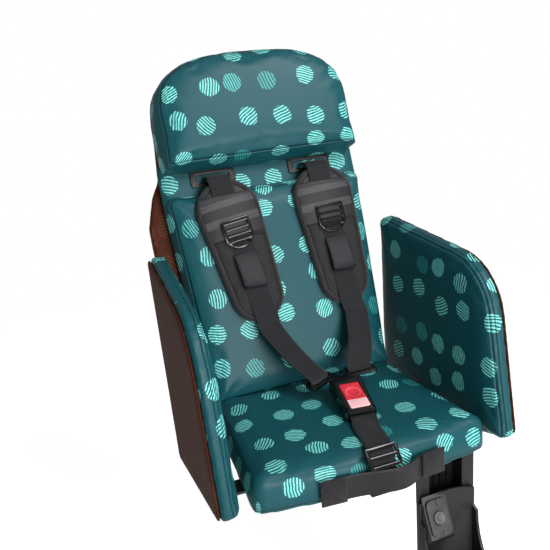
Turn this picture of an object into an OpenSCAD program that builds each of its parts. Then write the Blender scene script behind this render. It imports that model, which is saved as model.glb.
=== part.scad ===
// Upholstered child seat for a cargo bike, in millimetres. +Z is up and the seat faces -Y.
// The origin is the centre of the four carrier bolts, on the underside of the steel bracket.

/* [Seat] */
// Width of the seat cushion where it meets the back rest
seat_w_rear = 252; // [236:2:262]
// Width of the seat cushion at its front corners
seat_w_front = 288; // [262:2:296]
// Depth of the seat cushion from the back rest to its front corners
seat_depth = 186; // [170:2:210]
// How far the middle of the front edge bows out past the corners
seat_bow = 12; // [4:1:20]
// Thickness of the seat cushion with the board inside it
seat_thick = 42; // [34:1:50]
// Radius of the rolled top edge of the seat cushion
seat_roll = 12; // [6:1:16]
// Plywood thickness of the seat, back and wing boards
board_t = 9; // [6:1:12]

/* [Back rest] */
// Angle of the back rest behind the vertical
recline = 21.5; // [12:0.5:28]
// Width of the back cushion at the seat
back_w_low = 250; // [236:2:262]
// Width of the back cushion under the headrest
back_w_high = 274; // [250:2:280]
// Length of the back rest from the seat to the headrest
back_len = 293; // [270:1:330]
// Foam thickness of the back cushion
back_foam = 30; // [24:1:40]
// Height of the sunken band that holds the strap slots
band_h = 27; // [25:1:34]
// Depth of the sunken band below the back cushion's face
band_drop = 12; // [6:1:16]
// Thickness of the padded rear cover
rear_pad = 18; // [15:1:30]

/* [Headrest] */
// Width of the headrest
head_w = 264; // [240:2:280]
// Height of the headrest
head_h = 145; // [110:1:160]
// How far the headrest stands out in front of the back cushion
head_proud = 27; // [16:1:36]
// Height of the headrest's straight sides
head_side = 62; // [30:1:74]
// Squareness of the headrest's arched top
head_power = 2.7; // [2:0.1:4]

/* [Side wings] */
// Gap beside the back cushion at seat level
wing_gap = 18.5; // [14:0.5:24]
// Thickness of a wing's pad and boxing
wing_pad = 22; // [18:0.5:30]
// Height of the wings above the seat
wing_h = 182; // [150:2:200]
// How far the wings reach in front of the seat's corners
wing_ahead = 2; // [-6:1:26]
// Radius of the wing's front top corner
wing_round = 80; // [50:1:90]
// Depth of the wing's rear corner below the seat surface
wing_drop = 98; // [70:1:110]
// Outward splay of the wings' front ends
wing_splay = 3.5; // [1:0.5:8]
// Outward lean of the wings' tops
wing_lean = 1.5; // [0:0.5:5]

/* [Harness] */
// Width of the webbing
web_w = 30; // [25:1:34]
// Thickness of the webbing
web_t = 2; // [1.4:0.1:2.4]
// Distance between the two shoulder slots
slot_pitch = 134; // [120:2:140]
// Width of a shoulder pad at its broad upper end
pad_w_top = 84; // [70:1:90]
// Width of a shoulder pad at its lower end
pad_w_low = 70; // [60:1:80]
// Length of a shoulder pad
pad_len = 186; // [170:2:196]
// Thickness of a shoulder pad
pad_t = 12; // [8:1:14]
// Length of the buckle
buckle_l = 68; // [60:1:72]
// Width of the buckle
buckle_w = 41; // [38:1:46]
// Thickness of the buckle
buckle_t = 16; // [15:1:20]
// Travel of the red release button
button_travel = 3; // [2:0.5:3.5]
// Height of the elastic band on the front edge
band_w = 28; // [22:1:30]

/* [Leg guard] */
// Distance of the guard's middle from the seat's middle
guard_x = 93; // [88:1:96]
// Width of the guard over its lips
guard_w = 76; // [70:1:84]
// Inner width of the guard's channel
channel_w = 44; // [38:1:48]
// Depth of the guard's channel
channel_d = 22; // [18:1:26]
// Wall thickness of the moulded guard and footrest
wall = 3; // [2.5:0.5:3.5]
// Length of the guard's channel below the seat
guard_l = 154; // [140:1:175]
// How far the footrest slides down
foot_travel = 60; // [30:5:60]
// Depth of the foot tray
tray_d = 74; // [60:1:90]
// Radius of the height lock's button
lock_r = 7.6; // [6:0.2:8]

/* [Carrier bracket] */
// Distance between the carrier bolts across the seat
bolt_x = 70; // [60:2:76]
// Distance between the carrier bolts along the seat
bolt_y = 80; // [60:2:84]
// Radius of the carrier bolt holes
bolt_hole_r = 4.25; // [3.3:0.05:5.3]
// Height of the bracket under the seat
bracket_h = 18; // [14:1:34]
// Steel thickness
steel_t = 3; // [2:0.5:4]

/* [Hidden] */
$fn = 48;
teal = [0.10, 0.33, 0.36];
teal_dark = [0.05, 0.22, 0.24];
brown = [0.24, 0.11, 0.07];
webbing = [0.07, 0.07, 0.08];
black = [0.03, 0.03, 0.035];
steel = [0.62, 0.63, 0.65];
birch = [0.76, 0.60, 0.42];
signal_red = [0.85, 0.08, 0.12];
dark_grey = [0.22, 0.23, 0.24];
thin = 0.02;
far = 400;
fit_gap = 0.3;
slide_gap = 0.4;
edge_steps = 4;
// The crease between the seat surface and the face of the back cushion
crease_y = 70;
crease_z = bracket_h + seat_thick;
bolt_r = 3;
nut_barrel_r = 4.2;
nut_flange_r = 9;
nut_flange_t = 1.5;
// The leg guard's channel, ahead of the crease
guard_front = 14 - seat_depth;
guard_back = guard_front + channel_d;
flange_end = guard_back + 18;

// Position helpers: seat(), back(), wing() and buckle() are the local frames

module seat() { translate([0, crease_y, crease_z]) children(); }
module back() { seat() rotate([-recline, 0, 0]) children(); }
module mirrored(side) { mirror([side < 0 ? 1 : 0, 0, 0]) children(); }
wing_x = seat_w_rear / 2 + wing_gap;
wing_y = 45;
module wing(side) {
    seat() mirrored(side) translate([wing_x, wing_y, 0]) rotate([0, wing_lean, wing_splay]) children();
}
// Everything behind a depth in the back rest's frame
module behind(depth) { back() translate([-far, depth, -far]) cube(2 * far); }
// A point of the back rest's frame (x, depth, height) in the seat's frame
function on_back(x, y, v) = [x, y * cos(recline) + v * sin(recline), v * cos(recline) - y * sin(recline)];
// Inset and drop of step k on a rounded edge of radius r
function edge_in(k, r) = r * (1 - sin(90 * k / edge_steps));
function edge_drop(k, r) = r * (1 - cos(90 * k / edge_steps));
// Rounded rectangle with true arcs
module rounded(w, d, r) {
    square([w - 2 * r, d], center = true);
    square([w, d - 2 * r], center = true);
    for (x = [-1, 1], y = [-1, 1]) translate([x * (w / 2 - r), y * (d / 2 - r)]) circle(r);
}
// Lays a flat outline drawn in (x, z) against the back rest or a wall, with its thickness along +Y
module upright(t) { rotate([90, 0, 0]) mirror([0, 0, 1]) linear_extrude(t) children(); }
// Lays a flat outline drawn in (y, z) with its thickness along +X
module sideways(t) { rotate([90, 0, 90]) linear_extrude(t) children(); }

// Fasteners

module tee_nut(barrel) {
    difference() {
        union() {
            cylinder(r = nut_barrel_r, h = barrel);
            cylinder(r = nut_flange_r, h = nut_flange_t);
        }
        translate([0, 0, -1]) cylinder(r = bolt_r + 0.1, h = barrel + 2);
    }
}
module nut_pocket(depth) {
    translate([0, 0, -1]) cylinder(r = nut_flange_r + fit_gap, h = nut_flange_t + fit_gap + 1);
    translate([0, 0, -1]) cylinder(r = nut_barrel_r + fit_gap, h = depth + 2);
}
module hex_bolt(shank) {
    translate([0, 0, -4]) cylinder(r = 5.7, h = 4, $fn = 6);
    cylinder(r = bolt_r, h = shank);
}

// Carrier bracket: a pressed hat section, bolted to the carrier through its floor

flange_x = bolt_x / 2 + 29;
bracket_w = bolt_x + 34;
bracket_d = bolt_y + 28;
flange_w = 26;
module each_board_bolt() {
    for (x = [-1, 1], y = [-1, 1]) translate([x * flange_x, y * bolt_y / 2, 0]) children();
}
module carrier_bracket() color(steel) {
    difference() {
        union() {
            linear_extrude(steel_t) rounded(bracket_w, bracket_d, 6);
            for (x = [-1, 1])
                translate([x * (bracket_w / 2 - steel_t / 2) - steel_t / 2, -bracket_d / 2 + 6, 0])
                    cube([steel_t, bracket_d - 12, bracket_h]);
            for (x = [-1, 1])
                translate([x * (bracket_w / 2 + flange_w / 2 - steel_t), 0, bracket_h - steel_t])
                    linear_extrude(steel_t) rounded(flange_w, bracket_d, 6);
        }
        for (x = [-1, 1], y = [-1, 1])
            translate([x * bolt_x / 2, y * bolt_y / 2, -1]) cylinder(r = bolt_hole_r, h = steel_t + 2);
        each_board_bolt() cylinder(r = bolt_r + fit_gap, h = bracket_h + 1);
    }
}
module board_bolts() color(steel) {
    each_board_bolt() translate([0, 0, bracket_h - steel_t]) hex_bolt(steel_t + board_t - 1);
}
module board_nuts() color(steel) {
    each_board_bolt() translate([0, 0, bracket_h + board_t]) mirror([0, 0, 1]) tee_nut(board_t - 1);
}

// Seat: plywood board inside a cushion with a rolled, bowed front edge

seat_corner = 14;
seat_tail = 45;
board_inset = 12;
bow_steps = 6;
// Half-width of the seat cushion at a distance ahead of the crease
function seat_half(ahead) = (seat_w_rear + (seat_w_front - seat_w_rear) * ahead / seat_depth) / 2;
module seat_outline(inset) {
    r = seat_corner - inset * 0.8;
    reach = inset + r;
    front = seat_w_front / 2 - reach;
    hull() {
        for (i = [0 : bow_steps]) {
            u = 2 * i / bow_steps - 1;
            translate([u * front, -seat_depth - seat_bow * (1 - u * u) + reach]) circle(r, $fn = 32);
        }
        for (x = [-1, 1]) translate([x * (seat_w_rear / 2 - reach), seat_tail - r]) circle(r, $fn = 32);
    }
}
module seat_body() hull() {
    for (k = [0 : edge_steps - 1])
        translate([0, 0, -edge_drop(k, seat_roll) - thin])
            linear_extrude(thin) seat_outline(edge_in(k, seat_roll));
    translate([0, 0, -seat_thick]) linear_extrude(seat_thick - seat_roll) seat_outline(0);
}
module seat_board() color(birch) {
    difference() {
        seat() translate([0, 0, -seat_thick]) linear_extrude(board_t) seat_outline(board_inset);
        behind(back_foam);
        each_board_bolt() translate([0, 0, bracket_h + board_t]) mirror([0, 0, 1]) nut_pocket(board_t);
    }
}
module seat_cushion() color(teal) {
    difference() {
        seat() seat_body();
        seat() translate([0, 0, -seat_thick - 1])
            linear_extrude(board_t + 1 + fit_gap) seat_outline(board_inset - fit_gap);
        behind(back_foam - fit_gap);
    }
}

// Back rest: board, cushion with a sunken slot band, and padded rear cover

slot_v = back_len - band_h / 2 + 2.5;
slot_w = web_w + 14;
slot_h = 10;
bezel_w = slot_w + 16;
bezel_h = slot_h + 10;
module each_slot() { for (x = [-1, 1]) translate([x * slot_pitch / 2, 0, slot_v]) children(); }
// Arched headrest outline in (x, height), drawn from the headrest's lower edge
function arch(half, straight, rise, steps = 24) = [
    for (i = [0 : steps]) let (a = 180 * i / steps, c = cos(a))
        [half * sign(c) * pow(abs(c), 2 / head_power),
         straight + rise * pow(sin(a), 2 / head_power)]];
module head_outline(inset) {
    half = head_w / 2 - inset;
    polygon(concat([[-half, inset], [half, inset]],
        arch(half, head_side, head_h - head_side - inset)));
}
module back_board() color(birch) {
    difference() {
        back() translate([0, back_foam, 0]) {
            upright(board_t) polygon([[-back_w_low / 2 + 7, -seat_thick * 2],
                [back_w_low / 2 - 7, -seat_thick * 2], [head_w / 2 - 8, back_len + 12],
                [-head_w / 2 + 8, back_len + 12]]);
            translate([0, 0, back_len]) upright(board_t) head_outline(8);
        }
        translate([-far, -far, bracket_h - far]) cube([2 * far, 2 * far, far]);
        back() each_slot() translate([-slot_w / 2 - 2, back_foam - 1, -slot_h / 2 - 1])
            cube([slot_w + 4, board_t + 2, slot_h + 2]);
    }
}
bracket_arm = 70;
bracket_leg_w = 28;
// A point of the back rest in (y, z), and the one at a set height
function back_point(depth, v) = [crease_y + depth * cos(recline) + v * sin(recline),
    crease_z + v * cos(recline) - depth * sin(recline)];
function back_level(depth, z) = back_point(depth, (z - crease_z + depth * sin(recline)) / cos(recline));
module corner_brackets() color(steel) {
    rear = back_foam + board_t;
    for (x = [-1, 1]) translate([x * (back_w_low / 2 - 24) - bracket_leg_w / 2, 0, 0])
        sideways(bracket_leg_w) polygon([
            [crease_y - 12, bracket_h - steel_t], [crease_y - 12, bracket_h], back_level(rear, bracket_h),
            back_point(rear, bracket_arm), back_point(rear + steel_t, bracket_arm),
            back_level(rear + steel_t, bracket_h - steel_t)]);
}
back_corner = 14;
module back_outline(inset) {
    r = back_corner - inset * 0.8;
    reach = inset + r;
    hull() for (x = [-1, 1]) {
        translate([x * (back_w_low / 2 - reach), -2 * back_corner]) circle(r, $fn = 32);
        translate([x * (back_w_high / 2 - reach), back_len - band_h - reach + 6]) circle(r, $fn = 32);
    }
}
back_roll = 9;
module back_cushion() color(teal) {
    difference() {
        back() {
            hull() {
                for (k = [0 : edge_steps]) translate([0, edge_drop(k, back_roll), 0])
                    upright(thin) back_outline(edge_in(k, back_roll));
                translate([0, back_foam - thin, 0]) upright(thin) back_outline(0);
            }
            translate([-back_w_high / 2, band_drop, back_len - band_h - 20])
                cube([back_w_high, back_foam - band_drop, band_h + 20 - fit_gap]);
        }
        translate([-far, -far, crease_z + fit_gap - 2 * far]) cube(2 * far);
        back() each_slot() translate([-bezel_w / 2 + 3 - fit_gap, -1, -bezel_h / 2 + 3 - fit_gap])
            cube([bezel_w - 6 + 2 * fit_gap, back_foam + 2, bezel_h - 6 + 2 * fit_gap]);
    }
}
// The rear cover swells outwards under the headrest and hugs the board elsewhere
cover_swell = 5;
cover_roll = 8;
cover_front = back_foam + board_t + 0.2;
module cover_low(inset) {
    hull() for (x = [-1, 1]) {
        translate([x * (back_w_low / 2 - 6 - inset), 4 - crease_z * 0.5]) circle(6, $fn = 24);
        translate([x * (back_w_low / 2 + 2 - inset), back_len * 0.66]) circle(4, $fn = 24);
        translate([x * (head_w / 2 + cover_swell - 14 - inset), back_len - 24]) circle(14, $fn = 24);
    }
}
module cover_high(inset) {
    translate([0, back_len - 30]) polygon(concat([[-head_w / 2 + 4 + inset, 0], [head_w / 2 - 4 - inset, 0]],
        arch(head_w / 2 - 4 - inset, head_side + 30, head_h - head_side - 5 - inset)));
}
module back_cover() color(brown) {
    difference() {
        back() translate([0, cover_front, 0]) {
            hull() {
                for (k = [0 : edge_steps - 1]) translate([0, rear_pad - edge_drop(k, cover_roll) - thin, 0])
                    upright(thin) cover_low(edge_in(k, cover_roll));
                upright(rear_pad - cover_roll) cover_low(0);
            }
            hull() {
                for (k = [0 : edge_steps - 1]) translate([0, rear_pad - edge_drop(k, cover_roll) - thin, 0])
                    upright(thin) cover_high(edge_in(k, cover_roll));
                upright(rear_pad - cover_roll) cover_high(0);
            }
        }
        // Pockets for the corner brackets' legs and for the strap anchors
        back() for (x = [-1, 1])
            translate([x * (back_w_low / 2 - 24) - bracket_leg_w / 2 - fit_gap, back_foam, -far])
                cube([bracket_leg_w + 2 * fit_gap, board_t + steel_t + fit_gap, far + bracket_arm + fit_gap]);
        back() each_slot() translate([-anchor_l / 2 - 1, back_foam, -anchor_r - web_t - 2])
            cube([anchor_l + 2, board_t + 2 * (anchor_r + web_t) + 2.5, 2 * (anchor_r + web_t) + 4]);
        translate([-far, -far, bracket_h - steel_t - far]) cube([2 * far, 2 * far, far]);
    }
}
module headrest() color(teal) {
    back() translate([0, 0, back_len]) hull() {
        for (k = [0, 2, edge_steps]) translate([0, edge_drop(k, 11) - head_proud, 0])
            upright(thin) head_outline(edge_in(k, 11));
        for (k = [0, edge_steps]) translate([0, back_foam - edge_drop(k, 4) - thin, 0])
            upright(thin) head_outline(edge_in(k, 4));
    }
}

// Side wings: a padded board with a plain outer cover, bracketed to the seat board

wing_board_x = wing_pad - board_t;
// Circles whose hull is the wing's outline, as [y, z, radius] in the wing's frame
wing_front_y = -seat_depth - wing_ahead - wing_y;
wing_circles = [
    [20, wing_h - 12, 12],
    [wing_front_y + 25 + wing_round, wing_h - 10 - wing_round, wing_round],
    [wing_front_y + 9, 13 - seat_thick, 9],
    [11, 9 - wing_drop, 9]];
module wing_outline(inset) {
    hull() for (c = wing_circles) translate([c[0], c[1]]) circle(c[2] - inset, $fn = 32);
}
module wing_cushion(side) color(teal) {
    roll = 6;
    wing(side) difference() {
        hull() {
            for (k = [0, 2, edge_steps]) translate([edge_drop(k, roll), 0, 0])
                sideways(thin) wing_outline(edge_in(k, roll));
            translate([wing_pad - 1, 0, 0]) sideways(1) wing_outline(0);
        }
        translate([wing_board_x - fit_gap, 0, 0]) sideways(board_t + 1) wing_outline(7);
        each_wing_bolt(side) translate([0, 0, -1]) cylinder(r = bolt_r + 0.6, h = wing_pad, $fn = 24);
    }
}
module wing_board(side) color(birch) {
    wing(side) difference() {
        translate([wing_board_x, 0, 0]) sideways(board_t) wing_outline(7 + fit_gap);
        each_wing_bolt(side) translate([0, 0, wing_pad]) mirror([0, 0, 1]) nut_pocket(board_t);
    }
}
module wing_cover(side) color(brown) {
    wing(side) translate([wing_pad + 0.1, 0, 0]) hull() {
        sideways(thin) wing_outline(2);
        translate([1.6, 0, 0]) sideways(thin) wing_outline(2.4);
        translate([3, 0, 0]) sideways(thin) wing_outline(5);
    }
}
// Two angle brackets join each wing to the seat board, in front of and behind the carrier bracket
wing_bolt_z = 10 - seat_thick;
wing_bracket_w = 25;
wing_bracket_y = [crease_y + flange_end + 2 + wing_bracket_w / 2, 44];
module each_wing_bolt(side) {
    for (y = wing_bracket_y)
        translate([0, y - crease_y - wing_y + 2, wing_bolt_z]) rotate([0, 90, 0]) children();
}
module wing_brackets() color(steel) {
    for (side = [-1, 1], y = wing_bracket_y) {
        difference() {
            mirrored(side) translate([flange_x + 16, y - wing_bracket_w / 2, bracket_h - steel_t])
                cube([far, wing_bracket_w, steel_t]);
            wing(side) translate([-fit_gap, -far, -far]) cube(2 * far);
        }
        difference() {
            wing(side) translate([-fit_gap - steel_t, y - crease_y - wing_y + 2 - wing_bracket_w / 2, -far])
                cube([steel_t, wing_bracket_w, far + wing_bolt_z + 12]);
            wing(side) each_wing_bolt(side) translate([0, 0, -far]) cylinder(r = bolt_r + fit_gap, h = 2 * far);
            translate([-far, -far, bracket_h - steel_t - far]) cube([2 * far, 2 * far, far]);
        }
    }
}
module wing_bolts() color(steel) {
    for (side = [-1, 1]) wing(side) each_wing_bolt(side) translate([0, 0, -fit_gap - steel_t]) {
        translate([0, 0, -2]) cylinder(r = 5.5, h = 2);
        cylinder(r = bolt_r, h = wing_pad + steel_t - 2);
    }
}
module wing_nuts() color(steel) {
    for (side = [-1, 1]) wing(side) each_wing_bolt(side)
        translate([0, 0, wing_pad]) mirror([0, 0, 1]) tee_nut(board_t - 1);
}

// Harness hardware on the back rest

anchor_r = 4;
anchor_l = 58;
anchor_y = back_foam + board_t + anchor_r + web_t + 0.4;
module slot_bezel(side) color(black) {
    back() translate([side * slot_pitch / 2, band_drop, slot_v]) difference() {
        union() {
            translate([0, -2.5, 0]) upright(2.5) rounded(bezel_w, bezel_h, 4);
            upright(back_foam - band_drop) rounded(bezel_w - 6, bezel_h - 6, 3);
        }
        translate([0, -4, 0]) upright(back_foam + 4) rounded(slot_w, slot_h, 3);
    }
}
module anchor_bar(side) color(steel) {
    back() translate([side * slot_pitch / 2 - anchor_l / 2, anchor_y, slot_v])
        rotate([0, 90, 0]) cylinder(r = anchor_r, h = anchor_l);
}

// Webbing: a run of flat ribbon through a list of points, always square to its path

function unit(a) = a / norm(a);
function tangent(p, i) = unit(p[min(i + 1, len(p) - 1)] - p[max(i - 1, 0)]);
// Width direction of the webbing: level, turned by an angle about +Z, and square to the path
function across(t, turn) = let (d = [cos(turn), sin(turn), 0]) unit(d - (d * t) * t);
// The turn goes from one angle to another between two of the path's points
function turn_at(i, turns, ends) =
    turns[0] + (turns[1] - turns[0]) * min(1, max(0, (i - ends[0]) / (ends[1] - ends[0])));
module rod_at(point, w, width) {
    translate(point) rotate([0, -asin(w[2]), atan2(w[1], w[0])])
        rotate([0, 90, 0]) cylinder(r = web_t / 2, h = width, center = true, $fn = 8);
}
module ribbon(p, turns = [0, 0], ends = [0, 1]) {
    for (i = [0 : len(p) - 2]) hull() for (k = [i, i + 1])
        rod_at(p[k], across(tangent(p, k), turn_at(k, turns, ends)), web_w);
}

// Shoulder pads: placed by their upper and lower circle centres in the back rest's frame

pad_gap = 1.5;
pad_top_v = slot_v - 8;
pad_face = -pad_gap - pad_t;
// Left and right pads hang a little differently, as the harness lies in use
function pad_top_x(side) = side < 0 ? -61 : 70;
function pad_low_x(side) = side < 0 ? -46 : 75;
pad_upper_v = pad_top_v - pad_w_top / 2;
pad_lower_v = pad_top_v - pad_len + pad_w_low / 2;
// Middle of the pad at a height on the back rest
function pad_x(side, v) = pad_low_x(side)
    + (pad_top_x(side) - pad_low_x(side)) * (v - pad_lower_v) / (pad_upper_v - pad_lower_v);
function pad_angle(side) = atan2(pad_top_x(side) - pad_low_x(side), pad_upper_v - pad_lower_v);
module pad_outline(side, inset) {
    hull() {
        translate([pad_top_x(side), pad_upper_v]) circle(pad_w_top / 2 - inset);
        translate([pad_low_x(side), pad_lower_v]) circle(pad_w_low / 2 - inset);
    }
}
// The quilted middle stands out of the pad's bound edge
pad_edge = 7;
module shoulder_pad(side) color(webbing) {
    back() {
        translate([0, pad_face + 4, 0]) upright(pad_t - 4) pad_outline(side, 0);
        translate([0, pad_face, 0]) upright(pad_t - 2) pad_outline(side, pad_edge);
    }
}
strap_lift = pad_face - fit_gap - web_t / 2;
adjuster_v = pad_upper_v - 32;
keeper_v = pad_lower_v + 12;
module shoulder_strap(side) color(webbing) {
    x = side * slot_pitch / 2;
    path = [
        on_back(x, anchor_y - 5, slot_v),
        on_back(x, 2, slot_v),
        on_back(x, pad_face + 6, slot_v - 1),
        on_back(pad_x(side, 275), strap_lift + 0.2, pad_top_v + 1),
        on_back(pad_x(side, 265), strap_lift, pad_top_v - 6),
        on_back(pad_x(side, 240), strap_lift, pad_upper_v),
        on_back(pad_x(side, adjuster_v), strap_lift, adjuster_v + 12)];
    seat() ribbon(path);
    back() translate([x - web_w / 2, anchor_y, slot_v]) rotate([0, 90, 0]) difference() {
        cylinder(r = anchor_r + fit_gap + web_t, h = web_w);
        translate([0, 0, -1]) cylinder(r = anchor_r + fit_gap, h = web_w + 2);
    }
}
adjuster_w = 38;
adjuster_h = 42;
adjuster_t = 3.5;
module strap_adjuster(side) color(black) {
    back() translate([pad_x(side, adjuster_v), strap_lift - web_t / 2 - fit_gap - adjuster_t, adjuster_v])
        rotate([0, pad_angle(side), 0]) upright(adjuster_t) difference() {
            union() {
                translate([0, adjuster_h / 2 - 11]) rounded(adjuster_w, 22, 3);
                intersection() {
                    translate([0, 5]) circle(adjuster_w / 2 + 2);
                    translate([-adjuster_w / 2, -adjuster_h / 2]) square([adjuster_w, adjuster_h / 2 + 4]);
                }
            }
            for (v = [14, 6, -2]) translate([0, v]) rounded(adjuster_w - 7, 4.6, 1.5);
            translate([0, -9.5]) rounded(adjuster_w - 14, 5, 2);
        }
}
keeper_w = web_w + 10;
keeper_h = 26;
module pad_keeper(side) color(webbing) {
    back() translate([pad_x(side, keeper_v), pad_face - 0.1, keeper_v]) rotate([0, pad_angle(side), 0])
        difference() {
            translate([-keeper_w / 2, -2 * web_t - 1, -keeper_h / 2]) cube([keeper_w, 2 * web_t + 1, keeper_h]);
            translate([-web_w / 2 - 2, -web_t - 2 * fit_gap - 0.4, -keeper_h])
                cube([web_w + 4, web_t + 2 * fit_gap + 2, 2 * keeper_h]);
        }
}
// A point near a tongue's slot in the seat's frame: distance up the slot's side and height over it
function at_slot(side, d, h) = let (a = ear_turn(side), e = ear_at(side), m = slot_off + d)
    on_buckle([e[0] - m * sin(a), e[1] + m * cos(a), h]);
module lower_strap(side) color(webbing) {
    low = pad_top_v - pad_len;
    path = [
        on_back(pad_x(side, adjuster_v - 10), strap_lift, adjuster_v + 6),
        on_back(pad_x(side, keeper_v + 20), strap_lift, keeper_v + 20),
        on_back(pad_x(side, low), strap_lift, low + 4),
        on_back(pad_x(side, low) + 2, strap_lift - 2, low - 12),
        (on_back(pad_x(side, low) + 4, strap_lift - 8, low - 26) + at_slot(side, 8, 10)) / 2 + [0, -1, -2],
        at_slot(side, 5, 6),
        at_slot(side, 0.6, 2.4),
        at_slot(side, 0.4, -2.6),
        at_slot(side, 5, -4.2),
        at_slot(side, 16, -4.6)];
    seat() ribbon(path, [0, ear_turn(side) + buckle_yaw], [2, 5]);
}

// Buckle: two tongues meet in a moulded body with a red release button

buckle_at = [17, -94, 15.5];
buckle_yaw = -7.7;
buckle_pitch = 11;
tongue_t = 3;
shell = 2;
module buckle() { seat() translate(buckle_at) rotate([buckle_pitch, 0, buckle_yaw]) children(); }
// A point of the buckle's frame in the seat's frame
function on_buckle(p) = let (c = cos(buckle_pitch), s = sin(buckle_pitch), y = p[1] * c - p[2] * s)
    buckle_at + [p[0] * cos(buckle_yaw) - y * sin(buckle_yaw),
        p[0] * sin(buckle_yaw) + y * cos(buckle_yaw), p[1] * s + p[2] * c];
// Body outline: square shoulders at the tongues and a narrower strap end
module buckle_outline(inset) {
    w = buckle_w / 2 - inset;
    l = buckle_l / 2 - inset;
    hull() {
        for (x = [-1, 1]) translate([x * (w - 5), l - 5]) circle(5, $fn = 32);
        for (x = [-1, 1]) translate([x * (w - 5.5), -l + 3]) circle(3, $fn = 32);
    }
}
button_w = 24;
button_l = buckle_l - 23;
button_y = -5;
module buckle_base() color(black) {
    buckle() difference() {
        union() {
            hull() {
                translate([0, 0, -buckle_t / 2]) linear_extrude(thin) buckle_outline(2.5);
                translate([0, 0, -buckle_t / 2 + 3]) linear_extrude(thin) buckle_outline(0);
                translate([0, 0, -thin]) linear_extrude(thin) buckle_outline(0);
            }
        }
        translate([0, 0, shell - buckle_t / 2]) linear_extrude(buckle_t) buckle_outline(shell + 0.5);
        translate([-14, 0, -tongue_t / 2 - fit_gap]) cube([28, buckle_l, tongue_t + 2 * fit_gap]);
        translate([-web_w / 2 - 1, -buckle_l, -web_t / 2 - 1]) cube([web_w + 2, buckle_l, web_t + 2]);
    }
}
module buckle_cover() color(black) {
    buckle() translate([0, 0, 0.1]) difference() {
        hull() {
            linear_extrude(thin) buckle_outline(0);
            translate([0, 0, buckle_t / 2 - 2.5]) linear_extrude(thin) buckle_outline(0.6);
            translate([0, 0, buckle_t / 2 - 0.1]) linear_extrude(thin) buckle_outline(3);
        }
        translate([0, 0, -1]) linear_extrude(buckle_t / 2 - shell + 1) buckle_outline(shell + 0.5);
        translate([-14, 0, -1]) cube([28, buckle_l, tongue_t / 2 + fit_gap + 1]);
        translate([-web_w / 2 - 1, -buckle_l, -1]) cube([web_w + 2, buckle_l, web_t / 2 + 2]);
        translate([0, button_y, 0]) linear_extrude(buckle_t) rounded(button_w + 0.8, button_l + 0.8, 2.4);
    }
}
// The button's dished face stands 1 mm above the cover, and its skirt reaches into the body
module buckle_button() color(signal_red) {
    top = buckle_t / 2 + 1;
    buckle() translate([0, button_y, 0]) difference() {
        translate([0, 0, tongue_t / 2 + button_travel + 0.8])
            linear_extrude(top - tongue_t / 2 - button_travel - 0.8) rounded(button_w, button_l, 2);
        translate([0, 4, top + 28.5]) sphere(r = 30, $fn = 64);
        translate([-button_w, -button_l / 2, top]) rotate([-24, 0, 0]) translate([0, -9, 0])
            cube([2 * button_w, 9, 6]);
    }
}
module buckle_latch() color(steel) {
    buckle() translate([0, -2, -tongue_t / 2 - fit_gap - 1.6]) linear_extrude(1.5) difference() {
        rounded(buckle_w - 2 * shell - 8, 34, 2);
        for (x = [-1, 1]) translate([x * 7, 8]) square([7, 5], center = true);
    }
}
// Coil spring swept along a helix with a six-sided wire
function coil_points(r, wire, turns, length, per_turn) = [
    for (i = [0 : turns * per_turn]) let (a = 360 * i / per_turn, z = length * i / (turns * per_turn))
        for (j = [0 : 5]) [(r + wire * cos(60 * j)) * cos(a), (r + wire * cos(60 * j)) * sin(a), z + wire * sin(60 * j)]];
function coil_faces(rings) = concat(
    [[for (j = [0 : 5]) j]],
    [for (i = [0 : rings - 2], j = [0 : 5])
        [6 * i + j, 6 * (i + 1) + j, 6 * (i + 1) + (j + 1) % 6, 6 * i + (j + 1) % 6]],
    [[for (j = [5 : -1 : 0]) 6 * (rings - 1) + j]]);
module coil(r, wire, turns, length) {
    per_turn = 12;
    translate([0, 0, wire]) polyhedron(coil_points(r, wire, turns, length - 2 * wire, per_turn),
        coil_faces(turns * per_turn + 1), convexity = 6);
}
module buckle_spring() color(steel) {
    floor_z = shell - buckle_t / 2;
    buckle() translate([0, -18, floor_z]) coil(2.4, 0.3, 2, -floor_z - tongue_t / 2 - fit_gap - 1.7);
}
// A tongue is a flat shank with a slotted ear; the ears spread to take the two lower straps
ear_w = web_w + 11;
ear_h = 15;
slot_off = 1.4;
function ear_at(side) = side < 0 ? [-27, buckle_l / 2 + 7.5] : [27, buckle_l / 2 + 15];
function ear_turn(side) = side < 0 ? 30 : 6;
module buckle_tongue(side) color(black) {
    buckle() translate([0, 0, -tongue_t / 2]) linear_extrude(tongue_t) difference() {
        union() {
            translate([side < 0 ? -12.5 : 0.2, buckle_l / 2 - 16]) square([12.3, 19]);
            hull() {
                translate([side < 0 ? -12.5 : 0.2, buckle_l / 2 + 2]) square([12.3, 7]);
                translate(ear_at(side)) rotate(ear_turn(side)) translate([-side * (ear_w / 2 - 4), 0]) circle(4);
            }
            translate(ear_at(side)) rotate(ear_turn(side)) rounded(ear_w, ear_h, 4);
        }
        translate(ear_at(side)) rotate(ear_turn(side)) translate([0, slot_off]) rounded(web_w + 3, 6.4, 2);
        translate([side < 0 ? 0 : -50, 0]) square([50, 80]);
    }
}

// Crotch strap, its slider and the elastic band on the seat's front edge

slider_w = 38;
slider_h = 23;
slider_t = 3.4;
slider_pitch = 50;
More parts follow.
